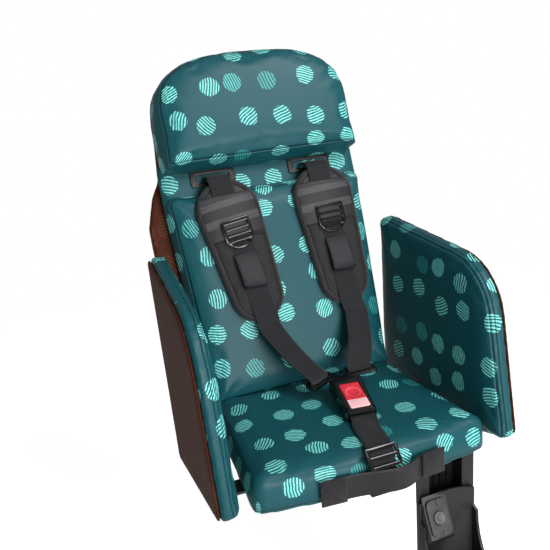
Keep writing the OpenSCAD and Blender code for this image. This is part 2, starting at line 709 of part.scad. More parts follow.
// The strap rolls over the seat's front edge on this arc, and the slider rides on it
roll_y = -seat_depth - seat_bow + seat_roll;
strap_r = seat_roll + web_t / 2 + 0.8;
function on_roll(x, a, r) = [x, roll_y - r * sin(a), -seat_roll + r * cos(a)];
module slider_frame() {
    seat() translate(on_roll(-1, slider_pitch, strap_r + web_t / 2 + 2 * fit_gap)) rotate([slider_pitch, 0, 0]) children();
}
module crotch_strap() color(webbing) {
    out = strap_r - seat_roll;
    path = concat([
        on_buckle([0, 5 - buckle_l / 2, 0]),
        on_buckle([0, -6 - buckle_l / 2, -0.6]),
        [7, roll_y + 40, 3.4],
        [3, roll_y + 12, 1.9]],
        [for (a = [15 : 15 : 90]) on_roll(a > slider_pitch ? -2 : -1, a, strap_r)],
        [[-2.5, roll_y - strap_r, 8 - seat_thick],
        [-2.5, roll_y - strap_r, -seat_thick - 1],
        [-2.5, roll_y - seat_roll + 0.5, -seat_thick - out - 0.2],
        [-2.5, roll_y + 34, -seat_thick - out - 0.2]]);
    seat() ribbon(path, [buckle_yaw, 0], [1, 4]);
}
module crotch_slider() color(black) {
    slider_frame() linear_extrude(slider_t) difference() {
        rounded(slider_w, slider_h, 3);
        for (y = [-1, 1]) translate([0, y * 5.2]) rounded(web_w + 1.6, 7, 1);
    }
}
// The band hugs the cushion under its patches and bows out in front of the strap, more to one side
band_z = -12 - band_w;
patch_x = 60;
patch_w = 27;
band_out = 10;
function front_y(x) = let (u = x / (seat_w_front / 2 - seat_corner)) -seat_depth - seat_bow * (1 - u * u);
function band_bow(x) = let (u = (x + patch_x - patch_w / 2) / (2 * patch_x - patch_w))
    u <= 0 || u >= 1 ? 0 : band_out * pow(sin(180 * pow(u, 1.7)), 1.3);
function band_point(x, off) = [x, front_y(x) - off - band_bow(x)];
module front_band() color(webbing) {
    reach = patch_x + patch_w / 2 - 3;
    points = concat([band_point(-reach, 1.4)],
        [for (i = [0 : 10]) band_point((patch_x - patch_w / 2) * (i / 5 - 1), 1.4)],
        [band_point(reach, 1.4)]);
    seat() translate([0, 0, band_z]) linear_extrude(band_w) for (i = [0 : len(points) - 2]) hull() {
        translate(points[i]) circle(web_t / 2, $fn = 12);
        translate(points[i + 1]) circle(web_t / 2, $fn = 12);
    }
}
module band_patch(side) color(webbing) {
    seat() translate([0, 0, band_z - 1]) linear_extrude(band_w + 2) hull()
        for (e = [-1, 1]) translate(band_point(side * patch_x + e * patch_w / 2, 1.9 + web_t)) circle(1, $fn = 12);
}

// Leg guard: a moulded channel with lips, carrying a footrest that slides and locks

screw_x = 14;
guard_top = -seat_thick;
lip_l = 61;
key_d = 1.6;
key_w = 3.4;
lip_x = channel_w / 2 + wall + key_d;
module guard() { seat() translate([guard_x, 0, 0]) children(); }
module leg_guard() color(black) {
    guard() difference() {
        union() {
            // Flange under the seat board
            translate([0, (guard_front + flange_end) / 2, guard_top - wall])
                linear_extrude(wall) rounded(guard_w, flange_end - guard_front, 4);
            // Channel back and walls
            translate([-lip_x, guard_back - wall, guard_top - guard_l]) cube([2 * lip_x, wall, guard_l]);
            for (x = [-1, 1]) translate([x * (lip_x - (wall + key_d) / 2) - (wall + key_d) / 2,
                guard_front, guard_top - guard_l]) cube([wall + key_d, channel_d, guard_l]);
            // Lips with a rounded lower end
            for (x = [-1, 1]) translate([0, guard_front, guard_top - lip_l]) upright(wall) {
                translate([x > 0 ? lip_x - 2 : -guard_w / 2, 8]) square([guard_w / 2 - lip_x + 2, lip_l - 8]);
                translate([x * (guard_w / 2 - 8), 8]) circle(8);
                translate([x > 0 ? lip_x - 2 : 8 - guard_w / 2, 0]) square([guard_w / 2 - lip_x - 6, 9]);
            }
            // Stiffening ribs inside the channel
            for (x = [-13.5, -4.5, 4.5, 13.5]) translate([x - 1.1, guard_back - wall - 1.8, guard_top - 52])
                cube([2.2, 2, 50]);
            // Gussets behind the channel
            for (x = [-1, 1]) translate([x * (lip_x - 3) - 1.5, 0, 0]) sideways(wall)
                polygon([[guard_back - 0.5, guard_top - 1], [guard_back + 17, guard_top - 1],
                    [guard_back - 0.5, guard_top - 42]]);
        }
        // Keyways that hold the slider in the channel
        for (x = [-1, 1]) translate([x > 0 ? channel_w / 2 - 1 : -channel_w / 2 - key_d,
            guard_front + 10, guard_top - guard_l - 1]) cube([key_d + 1, key_w + 2 * slide_gap, guard_l - 54]);
        // Catch holes for the height lock
        for (i = [0 : 4]) translate([-9, guard_back - wall - 1, guard_top - guard_l + 12 + 15 * i])
            cube([18, wall + 2, 6]);
        for (x = [-1, 1]) translate([x * screw_x, guard_back + 8, guard_top - wall - 1]) cylinder(r = 2.3, h = wall + 2);
    }
}
module guard_screws() color(steel) {
    for (x = [-1, 1]) guard() translate([x * screw_x, guard_back + 8, guard_top - wall]) {
        translate([0, 0, -2]) cylinder(r = 4, h = 2);
        cylinder(r = 2, h = wall - 0.1);
    }
}
plate_y = guard_front - slide_gap - wall;
foot_top = guard_top - 44;
foot_floor = guard_top - guard_l - 10;
foot_half = guard_w / 2 - 1;
lock_x = -19;
lock_slope = 27;
lock_w = 27;
lock_l = 42;
lock_at = [lock_x, plate_y - 11, foot_top - 24];
// A point of the sloping lock face in (y, z): distance up the slope and out of it
function on_lock(up, out) = [lock_at[1] + up * sin(lock_slope) - out * cos(lock_slope),
    lock_at[2] + up * cos(lock_slope) + out * sin(lock_slope)];
// Frame of the sloping lock face: local +Y goes into the boss and +Z up the slope
module lock() { guard() translate(lock_at) rotate([-lock_slope, 0, 0]) children(); }
slider_top = foot_top - 14;
slider_l = 66;
module footrest() color(black) {
    difference() {
        guard() union() {
            // Front plate with an arched top edge
            translate([0, plate_y, 0]) upright(wall) intersection() {
                translate([-foot_half, foot_floor - wall]) square([2 * foot_half, foot_top - foot_floor + wall]);
                translate([0, foot_top - 92]) circle(92, $fn = 96);
                square([2 * foot_half, 4 * far], center = true);
            }
            translate([-foot_half, plate_y, foot_floor - wall]) cube([2 * foot_half, wall, foot_top - foot_floor - 60]);
            // Keyed slider that runs in the guard's channel
            for (x = [-1, 1]) {
                translate([x * (channel_w / 2 - slide_gap - 2) - 2, plate_y + 0.5, slider_top - slider_l])
                    cube([4, channel_d + slide_gap - 0.5, slider_l]);
                translate([x > 0 ? channel_w / 2 - 2 : 2 - channel_w / 2 - key_d - 1.6,
                    guard_front + 10 + slide_gap, slider_top - slider_l])
                    cube([key_d + 1.6, key_w, slider_l]);
            }
            translate([-channel_w / 2 + slide_gap + 1, plate_y + 0.5, slider_top - slider_l])
                cube([channel_w - 2 * slide_gap - 2, 6, 3]);
            // Sloping boss that carries the height lock
            translate([lock_x - lock_w / 2 - 2, 0, 0]) sideways(lock_w + 4) polygon([
                [plate_y + 0.5, lock_at[2] + 24], on_lock(lock_l / 2 + 2, 0), on_lock(-lock_l / 2 - 2, 0),
                on_lock(-lock_l / 2 - 5, -4), [plate_y + 0.5, lock_at[2] - 32]]);
            // Low side walls that widen into the tray
            for (x = [-1, 1]) translate([x > 0 ? foot_half - wall : -foot_half, 0, 0]) sideways(wall)
                polygon(concat([[plate_y + 1, foot_top - 30], [plate_y + 1, foot_floor - wall],
                    [plate_y - tray_d + 12, foot_floor - wall], [plate_y - tray_d, foot_floor + 6]],
                    [for (i = [0 : 8]) let (a = 11.25 * i)
                        [plate_y - tray_d + 6 + (tray_d - 14) * sin(a),
                         foot_floor + 8 + (foot_top - foot_floor - 42) * (1 - cos(a))]]));
            // Tray floor with rounded front corners and grip ribs
            translate([0, plate_y - tray_d / 2, foot_floor - wall]) linear_extrude(wall) {
                translate([0, 6]) square([2 * foot_half, tray_d - 10], center = true);
                rounded(2 * foot_half, tray_d, 12);
            }
            for (i = [1 : 5]) translate([-foot_half + 9, plate_y - 8 - 11 * i, foot_floor - 0.5])
                cube([2 * foot_half - 18, 3, 1.7]);
            // Toe rim
            translate([-foot_half + 12, plate_y - tray_d, foot_floor - wall]) cube([2 * foot_half - 24, wall, wall + 7]);
        }
        lock() translate([0, -1, 0]) rotate([-90, 0, 0]) cylinder(r = lock_r + 2.4, h = 11.3);
    }
}
module lock_plate() color(dark_grey) {
    lock() translate([0, -3.1, 0]) difference() {
        upright(3) rounded(lock_w, lock_l, 7);
        translate([0, -1, 0]) rotate([-90, 0, 0]) cylinder(r = lock_r + 0.3, h = 6);
        for (v = [-1, 1]) translate([-0.6, -1, v * (lock_l / 2 - 4) - 3]) cube([1.2, 1.8, 6]);
    }
}
module lock_button() color(dark_grey) {
    lock() rotate([-90, 0, 0]) difference() {
        union() {
            translate([0, 0, -4.6]) cylinder(r = lock_r, h = 6.6);
            translate([0, 0, 0.2]) cylinder(r = lock_r + 1.6, h = 1.8);
            cylinder(r = 2, h = 7);
        }
        translate([0, 0, -32]) sphere(r = 28, $fn = 64);
    }
}
module lock_spring() color(steel) {
    lock() rotate([-90, 0, 0]) translate([0, 0, 4.2]) coil(3.4, 0.5, 4, 5.9);
}

carrier_bracket();
board_bolts();
board_nuts();
seat_board();
seat_cushion();
back_board();
corner_brackets();
back_cushion();
back_cover();
headrest();
wing_board(-1);  // wing_board_left
wing_board(1);  // wing_board_right
wing_cushion(-1);  // wing_cushion_left
wing_cushion(1);  // wing_cushion_right
wing_cover(-1);  // wing_cover_left
wing_cover(1);  // wing_cover_right
wing_brackets();
wing_bolts();
wing_nuts();
slot_bezel(-1);  // slot_bezel_left
slot_bezel(1);  // slot_bezel_right
anchor_bar(-1);  // anchor_bar_left
anchor_bar(1);  // anchor_bar_right
shoulder_strap(-1);  // shoulder_strap_left
shoulder_strap(1);  // shoulder_strap_right
shoulder_pad(-1);  // shoulder_pad_left
shoulder_pad(1);  // shoulder_pad_right
pad_keeper(-1);  // pad_keeper_left
pad_keeper(1);  // pad_keeper_right
strap_adjuster(-1);  // strap_adjuster_left
strap_adjuster(1);  // strap_adjuster_right
lower_strap(-1);  // lower_strap_left
lower_strap(1);  // lower_strap_right
buckle_tongue(-1);  // buckle_tongue_left
buckle_tongue(1);  // buckle_tongue_right
buckle_base();
buckle_cover();
buckle_latch();
buckle_spring();
buckle_button();
crotch_strap();
crotch_slider();
front_band();
band_patch(-1);  // band_patch_left
band_patch(1);  // band_patch_right
leg_guard();
guard_screws();
footrest();
lock_plate();
lock_button();
lock_spring();
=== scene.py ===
import math

import bmesh
import bpy
import numpy as np
from mathutils import Matrix, Vector


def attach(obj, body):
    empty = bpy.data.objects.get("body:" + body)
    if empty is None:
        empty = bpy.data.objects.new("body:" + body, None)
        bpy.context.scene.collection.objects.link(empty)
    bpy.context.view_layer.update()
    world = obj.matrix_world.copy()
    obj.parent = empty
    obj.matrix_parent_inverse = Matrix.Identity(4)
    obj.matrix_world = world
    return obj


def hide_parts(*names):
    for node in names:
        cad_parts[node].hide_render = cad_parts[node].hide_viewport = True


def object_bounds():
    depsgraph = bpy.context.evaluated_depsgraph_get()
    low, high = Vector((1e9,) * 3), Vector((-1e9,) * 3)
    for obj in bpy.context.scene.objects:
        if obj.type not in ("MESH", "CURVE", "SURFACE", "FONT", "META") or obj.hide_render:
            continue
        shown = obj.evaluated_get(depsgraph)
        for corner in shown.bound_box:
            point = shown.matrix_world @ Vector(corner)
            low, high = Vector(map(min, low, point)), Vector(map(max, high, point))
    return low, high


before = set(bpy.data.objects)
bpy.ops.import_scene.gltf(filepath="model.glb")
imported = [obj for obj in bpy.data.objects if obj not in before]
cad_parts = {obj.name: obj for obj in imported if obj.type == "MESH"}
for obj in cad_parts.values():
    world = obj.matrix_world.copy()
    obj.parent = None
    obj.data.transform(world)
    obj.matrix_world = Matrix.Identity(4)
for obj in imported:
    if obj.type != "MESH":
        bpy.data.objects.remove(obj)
cad_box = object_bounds()
scene = bpy.context.scene

# The studio: a pale floor under the hanging seat, a white surround, one broad lamp high on the right
# and a stronger one farther off in front, so the inner face of the wing on the right falls into shade.
scene.view_settings.view_transform = "Standard"

camera_data = bpy.data.cameras.new("camera")
camera_data.sensor_width = 36
camera_data.lens = 50.69
camera = bpy.data.objects.new("camera", camera_data)
scene.collection.objects.link(camera)
azimuth, elevation, roll = (math.radians(a) for a in (-19.98, 18.36, -4.52))
toward_eye = Vector((
    math.sin(azimuth) * math.cos(elevation),
    -math.cos(azimuth) * math.cos(elevation),
    math.sin(elevation),
))
level = (-toward_eye).cross(Vector((0, 0, 1))).normalized()
upward = level.cross(-toward_eye)
eye_x = level * math.cos(roll) + upward * math.sin(roll)
eye_y = upward * math.cos(roll) - level * math.sin(roll)
camera.matrix_world = Matrix.Translation((-0.3378, -0.7656, 0.5068)) @ Matrix(
    (eye_x, eye_y, toward_eye)
).transposed().to_4x4()
scene.camera = camera

LAMP_AIM = Vector((0, 0, 0.2))


def soft_lamp(name, place, size, watts):
    lamp = bpy.data.lights.new(name, "AREA")
    lamp.shape = "RECTANGLE"
    lamp.size, lamp.size_y = size
    lamp.energy = watts
    holder = bpy.data.objects.new(name, lamp)
    holder.location = place
    holder.rotation_mode = "QUATERNION"
    holder.rotation_quaternion = (LAMP_AIM - Vector(place)).to_track_quat("-Z", "Y")
    scene.collection.objects.link(holder)


soft_lamp("key_lamp", (0.75, -0.95, 1.75), (0.8, 0.6), 25)
soft_lamp("front_lamp", (0.25, -2.0, 0.55), (1.1, 0.9), 34)

world = bpy.data.worlds.new("surround")
scene.world = world
world.use_nodes = True
sky = world.node_tree
sky.nodes.clear()
ray = sky.nodes.new("ShaderNodeLightPath")
seen = sky.nodes.new("ShaderNodeMath")
seen.operation = "MAXIMUM"
soft_sky = sky.nodes.new("ShaderNodeBackground")
soft_sky.inputs["Color"].default_value = (1, 1, 1, 1)
soft_sky.inputs["Strength"].default_value = 0.32
white_sky = sky.nodes.new("ShaderNodeBackground")
white_sky.inputs["Color"].default_value = (1, 1, 1, 1)
white_sky.inputs["Strength"].default_value = 1.0
either = sky.nodes.new("ShaderNodeMixShader")
sky_out = sky.nodes.new("ShaderNodeOutputWorld")
sky.links.new(ray.outputs["Is Camera Ray"], seen.inputs[0])
sky.links.new(ray.outputs["Is Transmission Ray"], seen.inputs[1])
sky.links.new(seen.outputs[0], either.inputs["Fac"])
sky.links.new(soft_sky.outputs[0], either.inputs[1])
sky.links.new(white_sky.outputs[0], either.inputs[2])
sky.links.new(either.outputs[0], sky_out.inputs["Surface"])

# Every finish is made with the two classes below: Wire does the arithmetic between sockets,
# and Finish adds any other node and fills the surface shader.


class Wire:
    """A node's output, with Python's arithmetic written as Math nodes."""

    def __init__(self, finish, socket):
        self.finish, self.socket = finish, socket

    def math(self, operation, *others):
        return self.finish.node("ShaderNodeMath", {"operation": operation}, self, *others)

    def __add__(self, other):
        return self.math("ADD", other)

    def __sub__(self, other):
        return self.math("SUBTRACT", other)

    def __mul__(self, other):
        return self.math("MULTIPLY", other)

    def __truediv__(self, other):
        return self.math("DIVIDE", other)

    def __neg__(self):
        return self.math("MULTIPLY", -1)

    def __rsub__(self, other):
        return (-self) + other

    def __abs__(self):
        return self.math("ABSOLUTE")

    __radd__ = __add__
    __rmul__ = __mul__

    def step(self, low, high):
        """0 below low and 1 above high, with a soft rise between; low over high turns it round."""
        if low > high:
            return 1 - self.step(high, low)
        settings = {"interpolation_type": "SMOOTHSTEP"}
        return self.finish.node("ShaderNodeMapRange", settings, self, low, high, 0, 1)


class Finish:
    """A surface finish: one shader and the nodes that feed it."""

    def __init__(self, name):
        self.material = bpy.data.materials.new(name)
        self.material.use_nodes = True
        self.tree = self.material.node_tree
        self.tree.nodes.clear()
        self.shader = self.tree.nodes.new("ShaderNodeBsdfPrincipled")
        output = self.tree.nodes.new("ShaderNodeOutputMaterial")
        self.tree.links.new(self.shader.outputs[0], output.inputs["Surface"])

    def put(self, socket, value):
        if isinstance(value, Wire):
            self.tree.links.new(value.socket, socket)
        elif isinstance(value, tuple) and socket.type == "RGBA":
            socket.default_value = (*value[:3], 1)
        elif value is not None:
            socket.default_value = value

    def node(self, kind, settings, *values, out=0, **named):
        made = self.tree.nodes.new(kind)
        for key, value in settings.items():
            if key == "stops":
                for stop, (place, colour) in zip(made.color_ramp.elements, value):
                    stop.position, stop.color = place, (*colour, 1)
            else:
                setattr(made, key, value)
        shown = [s for s in made.inputs if s.enabled]
        for socket, value in zip(shown, values):
            self.put(socket, value)
        for key, value in named.items():
            self.put(next(s for s in shown if s.name == key.replace("_", " ")), value)
        if isinstance(out, str):
            socket = next(s for s in made.outputs if s.name == out and s.enabled)
        else:
            socket = [s for s in made.outputs if s.enabled][out]
        return Wire(self, socket)

    def same(self, wire, out):
        """Another output of the node that a wire comes from."""
        return Wire(self, wire.socket.node.outputs[out])

    def mix(self, share, under, over):
        return self.node("ShaderNodeMix", {"data_type": "RGBA"}, share, under, over)

    def noise(self, where, scale, detail=2.0, roughness=0.5):
        return self.node(
            "ShaderNodeTexNoise", {}, Vector=where, Scale=scale, Detail=detail, Roughness=roughness,
        )

    def parts(self, vector):
        first = self.node("ShaderNodeSeparateXYZ", {}, vector)
        return first, self.same(first, 1), self.same(first, 2)

    def vector(self, x=0.0, y=0.0, z=0.0):
        return self.node("ShaderNodeCombineXYZ", {}, x, y, z)

    def own_place(self):
        return self.node("ShaderNodeTexCoord", {}, out="Object")

    def unrolled(self):
        return self.node("ShaderNodeAttribute", {"attribute_name": "unrolled"}, out="Vector")

    def bump(self, height, depth, under=None):
        return self.node("ShaderNodeBump", {}, Strength=1.0, Distance=depth, Height=height, Normal=under)

    def cover(self, **inlets):
        for key, value in inlets.items():
            self.put(self.shader.inputs[key.replace("_", " ")], value)
        return self.material


def pale_floor():
    """White paper that keeps the seat's soft shadow, and is as white as the surround farther off."""
    finish = Finish("pale_floor")
    nodes, links = finish.tree.nodes, finish.tree.links
    ray = finish.node("ShaderNodeLightPath", {}, out="Is Camera Ray")
    x, y, _ = finish.parts(finish.own_place())
    far = (x * x + y * y).math("SQRT").step(0.45, 1.6)
    finish.cover(Base_Color=(0.86, 0.86, 0.86), Roughness=0.8)
    glow, white = (nodes.new("ShaderNodeEmission") for _ in range(2))
    glow.inputs["Strength"].default_value, white.inputs["Strength"].default_value = 0.65, 1.0
    for lit in (glow, white):
        lit.inputs["Color"].default_value = (1, 1, 1, 1)
    near = nodes.new("ShaderNodeAddShader")
    distant, either = (nodes.new("ShaderNodeMixShader") for _ in range(2))
    output = next(n for n in nodes if n.type == "OUTPUT_MATERIAL")
    for start, end in (
        (finish.shader.outputs[0], near.inputs[0]), (glow.outputs[0], near.inputs[1]),
        (far.socket, distant.inputs["Fac"]), (near.outputs[0], distant.inputs[1]),
        (white.outputs[0], distant.inputs[2]), (ray.socket, either.inputs["Fac"]),
        (finish.shader.outputs[0], either.inputs[1]), (distant.outputs[0], either.inputs[2]),
        (either.outputs[0], output.inputs["Surface"]),
    ):
        links.new(start, end)
    return finish.material


floor_mesh = bpy.data.meshes.new("floor")
bed = bmesh.new()
bmesh.ops.create_grid(bed, x_segments=1, y_segments=1, size=6)
bmesh.ops.translate(bed, vec=(0, 0, cad_box[0].z - 0.12), verts=bed.verts)
bed.to_mesh(floor_mesh)
bed.free()
floor = bpy.data.objects.new("floor", floor_mesh)
floor.data.materials.append(pale_floor())
scene.collection.objects.link(floor)

# The seat cushion: foam on a plywood board in smooth coated cloth, rolled over the front edge, which
# bows out a little. Its pattern of hatched dots runs over all the cushions of the seat.
SEAT = Matrix.Translation((0, 0.070, 0.060))
TEAL = (0.006, 0.076, 0.092)
DOT_PITCH = 0.047


def dotted_cloth(
    name, base, bright, dim, dot_radius=0.0122, roughness=0.42, stretch=1.0, strength=1.0, shine=0.24,
):
    """Coated cloth with dots of hand-drawn strokes, laid out flat, and its seams pressed in."""
    finish = Finish(name)
    flat = finish.unrolled()
    across, along, seam = finish.parts(flat)
    cell = finish.node(
        "ShaderNodeTexVoronoi", {"voronoi_dimensions": "2D"},
        Vector=finish.vector(across / DOT_PITCH, along / (DOT_PITCH * stretch)),
        Scale=1.0, Randomness=0.43,
    )
    chance, second, third = finish.parts(finish.same(cell, "Color"))
    centre_x, centre_y, _ = finish.parts(finish.same(cell, "Position"))
    dx = across / DOT_PITCH - centre_x
    dy = along / (DOT_PITCH * stretch) - centre_y
    turn = chance * math.pi
    side = dx * turn.math("COSINE") + dy * turn.math("SINE")
    run = dy * turn.math("COSINE") - dx * turn.math("SINE")
    wobble = finish.noise(flat, 70, 1.0) - 0.5
    side = side + (run * 9 + second * 6).math("SINE") * 0.016 + wobble * 0.05
    strokes = side * (11.5 + third * 3.5)
    lane = strokes.math("FRACT") - 0.5
    width = 0.24 + (finish.noise(flat, 260, 2.0) - 0.5) * 0.34
    stroke = (width - abs(lane)).step(-0.03, 0.04)
    ragged = finish.node(
        "ShaderNodeTexWhiteNoise", {"noise_dimensions": "2D"},
        Vector=finish.vector(strokes.math("FLOOR"), chance * 50),
    )
    reach = dot_radius / DOT_PITCH
    from_centre = (dx * dx + dy * dy).math("SQRT") + (ragged - 0.5) * 0.03 + wobble * 0.02
    inside = from_centre.step(reach + 0.008, reach - 0.008)
    wash = second * 0.28 * inside * strength
    ink = stroke * inside * (0.75 + third * 0.25) * strength
    mottle = finish.noise(flat, 18, 3.0)
    cloth = finish.mix(mottle * 0.5, base, tuple(c * 0.78 for c in base))
    colour = finish.mix(wash, cloth, dim)
    colour = finish.mix(ink, colour, finish.mix(chance.step(0.0, 0.3), dim, bright))
    line = abs(seam).step(0.0011, 0.0003)
    colour = finish.mix(line * 0.75, colour, tuple(c * 0.16 for c in base))
    grain = finish.node(
        "ShaderNodeTexVoronoi", {"feature": "SMOOTH_F1", "voronoi_dimensions": "3D"},
        Vector=flat, Scale=720.0, Smoothness=0.4,
    )
    pore = finish.noise(flat, 420, 4.0, 0.6)
    surface = grain * 0.5 + pore * 0.6 + ink * 0.25
    fine = finish.bump(surface, 0.00010)
    puff = abs(seam).step(0.0, 0.0035)
    return finish.cover(
        Base_Color=colour,
        Roughness=roughness + (pore - 0.5) * 0.16 + ink * 0.06,
        Specular_IOR_Level=shine,
        Normal=finish.bump(puff, 0.0011, fine),
    )


def edge_of(points, outline):
    """How far each point lies inside a closed outline, and the outline's outward direction there."""
    a = np.array(outline, float)
    b = np.roll(a, -1, axis=0)
    span = b - a
    turn = np.sum(a[:, 0] * b[:, 1] - b[:, 0] * a[:, 1])
    out = np.stack([span[:, 1], -span[:, 0]], 1) * (1 if turn > 0 else -1)
    out /= np.linalg.norm(out, axis=1)[:, None]
    t = np.einsum("ijk,jk->ij", points[:, None] - a[None], span) / np.sum(span * span, 1)
    near = a[None] + np.clip(t, 0, 1)[..., None] * span[None]
    away = points[:, None] - near
    gap = np.linalg.norm(away, axis=2)
    pick = np.argmin(gap, axis=1)
    row = np.arange(len(points))
    signed = -np.sum(away[row, pick] * out[pick], axis=1)
    signed = np.where(signed >= 0, gap[row, pick], -gap[row, pick])
    return signed, out[pick]


# Frames that the cloth simulation of a cushion runs for
SWELL_STEPS = 16


def foam_block(name, outline, depth, roll, place, seams, cap=0.004, back_roll=0.004, voxel=0.005,
               origin=(0.0, 0.0), swell=4.0, pinned=0.006):
    """A foam block from its front outline: extruded, rolled over its edges, then swelled as cloth."""
    shape = bmesh.new()
    front = shape.faces.new([shape.verts.new((x, y, 0)) for x, y in outline])
    rear = bmesh.ops.extrude_face_region(shape, geom=[front])
    rear_verts = [v for v in rear["geom"] if isinstance(v, bmesh.types.BMVert)]
    bmesh.ops.translate(shape, vec=(0, 0, depth), verts=rear_verts)
    bmesh.ops.recalc_face_normals(shape, faces=shape.faces)
    for level, offset, segments in ((0, roll, 5), (depth, back_roll, 2)):
        rim = [e for e in shape.edges if all(abs(v.co.z - level) < 1e-6 for v in e.verts)]
        bmesh.ops.bevel(shape, geom=rim, offset=offset, segments=segments, profile=0.5, affect="EDGES",
                        material=-1, clamp_overlap=True)
    mesh = bpy.data.meshes.new(name)
    shape.to_mesh(mesh)
    shape.free()
    block = bpy.data.objects.new(name, mesh)
    scene.collection.objects.link(block)
    remesh = block.modifiers.new("remesh", "REMESH")
    remesh.mode, remesh.voxel_size, remesh.use_smooth_shade = "VOXEL", voxel, True
    settle(block)
    rest = corners_of(block.data)
    inside, outward = edge_of(rest[:, :2], outline)
    hold = block.vertex_groups.new(name="hold")
    for i, z in enumerate(rest[:, 2]):
        hold.add([i], 1.0 if z > depth - pinned else 0.0, "REPLACE")
    cloth = block.modifiers.new("swell", "CLOTH")
    cloth.settings.use_pressure = True
    cloth.settings.uniform_pressure_force = swell
    cloth.settings.tension_stiffness = cloth.settings.compression_stiffness = 12
    cloth.settings.bending_stiffness = 0.6
    cloth.settings.quality = 4
    cloth.settings.vertex_group_mass = "hold"
    cloth.settings.effector_weights.gravity = 0
    cloth.point_cache.frame_end = 20
    for step in range(1, SWELL_STEPS + 1):
        scene.frame_set(step)
    settle(block)
    scene.frame_set(1)
    moved = corners_of(block.data) - rest
    size = np.linalg.norm(moved, axis=1)
    kept = cap * (1 - np.exp(-size / cap)) / np.maximum(size, 1e-9)
    block.data.vertices.foreach_set("co", (rest + moved * kept[:, None]).ravel())
    block.vertex_groups.clear()
    depth_in = np.maximum(rest[:, 2], 0)
    around = depth_in - np.maximum(inside, 0)
    flat = np.zeros((len(rest), 3), np.float32)
    over_edge = depth_in * (inside < roll * 0.9)
    flat[:, :2] = rest[:, :2] + outward * over_edge[:, None] + np.array(origin)
    gaps = np.stack([around - s for s in seams]) if seams else np.full((1, len(rest)), 0.02)
    flat[:, 2] = gaps[np.argmin(np.abs(gaps), axis=0), np.arange(len(rest))]
    lay_out(block, flat)
    smooth = block.modifiers.new("smooth", "SUBSURF")
    smooth.levels = smooth.render_levels = 1
    settle(block)
    block.data.transform(place)
    if place.determinant() < 0:
        block.data.flip_normals()
    block.data.shade_smooth()
    return block


def corners_of(mesh):
    co = np.zeros(len(mesh.vertices) * 3, np.float32)
    mesh.vertices.foreach_get("co", co)
    return co.reshape(-1, 3)


def lay_out(piece, flat):
    """Keeps where each point lies on its cloth before sewing, and how far from a seam."""
    spread = piece.data.attributes.new("unrolled", "FLOAT_VECTOR", "POINT")
    spread.data.foreach_set("vector", np.ascontiguousarray(flat, np.float32).ravel())


def settle(piece):
    """Applies all of a piece's modifiers."""
    graph = bpy.context.evaluated_depsgraph_get()
    made = bpy.data.meshes.new_from_object(
        piece.evaluated_get(graph), preserve_all_data_layers=True, depsgraph=graph,
    )
    made.name = piece.name
    old = piece.data
    piece.modifiers.clear()
    piece.data = made
    bpy.data.meshes.remove(old)


def arc(cx, cy, r, start, end, steps=6):
    return [
        (cx + r * math.cos(math.radians(start + (end - start) * i / steps)),
         cy + r * math.sin(math.radians(start + (end - start) * i / steps)))
        for i in range(steps + 1)
    ]


teal_cloth = dotted_cloth("teal_dots", TEAL, (0.24, 0.80, 0.74), (0.03, 0.30, 0.29))

seat_front = [(0.128 * u, -0.1845 - 0.012 * (1 - u * u)) for u in (-0.95, -0.6, -0.3, 0, 0.3, 0.6, 0.95)]
seat_outline = (
    arc(-0.1285, -0.1705, 0.014, 180, 262, 5) + seat_front + arc(0.1285, -0.1705, 0.014, 278, 360, 5)
    + [(0.1275, -0.03), (0.1242, 0.022), (-0.1242, 0.022), (-0.1275, -0.03)]
)
seat_place = SEAT @ Matrix(((1, 0, 0, 0), (0, 1, 0, 0), (0, 0, -1, 0), (0, 0, 0, 1)))
seat_pad = foam_block("seat_pad", seat_outline, 0.0415, 0.013, seat_place, [0.0355], cap=0.0028,
                      back_roll=0.003, origin=(0.31, 0.17))
seat_pad.data.materials.append(teal_cloth)
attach(seat_pad, "seat")
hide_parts("seat_cushion")

# The back cushion: foam on the back board in the same cloth, leaning 21.5 degrees. Above it a
# sunken band of cloth, drawn tight over the board, holds the two shoulder slots.
LEAN = math.radians(21.5)
BACK = SEAT @ Matrix.Rotation(-LEAN, 4, "X")
back_place = BACK @ Matrix(((1, 0, 0, 0), (0, 0, 1, 0), (0, 1, 0, 0), (0, 0, 0, 1)))
back_outline = (
    [(-0.1235, -0.004), (0.1235, -0.004), (0.1270, 0.07), (0.1308, 0.15)]
    + arc(0.1225, 0.2525, 0.013, 0, 90, 5) + arc(-0.1225, 0.2525, 0.013, 90, 180, 5)
    + [(-0.1308, 0.15), (-0.1270, 0.07)]
)
back_pad = foam_block("back_pad", back_outline, 0.0295, 0.011, back_place, [0.001], cap=0.004,
                      origin=(0.07, 0.63))
back_pad.data.materials.append(teal_cloth)
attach(back_pad, "seat")

band_outline = [(-0.1355, 0.24), (0.1355, 0.24), (0.1355, 0.305), (-0.1355, 0.305)]
slot_band = foam_block("slot_band", band_outline, 0.0165, 0.004,
                       back_place @ Matrix.Translation((0, 0, 0.0130)), [], cap=0.0012, origin=(0.51, 0.11))
slot_band.data.materials.append(teal_cloth)
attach(slot_band, "seat")
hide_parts("back_cushion")

# The headrest: a thicker block of foam over the top of the back board, arched, with a sewn edge
# round its front panel.
HEAD_BASE = 0.293


def arched(half, straight, rise, power=2.7, steps=26):
    points = []
    for i in range(steps + 1):
        angle = math.pi * i / steps
        across, up = math.cos(angle), math.sin(angle)
        points.append((
            half * math.copysign(abs(across) ** (2 / power), across),
            HEAD_BASE + straight + rise * max(up, 0) ** (2 / power),
        ))
    return points


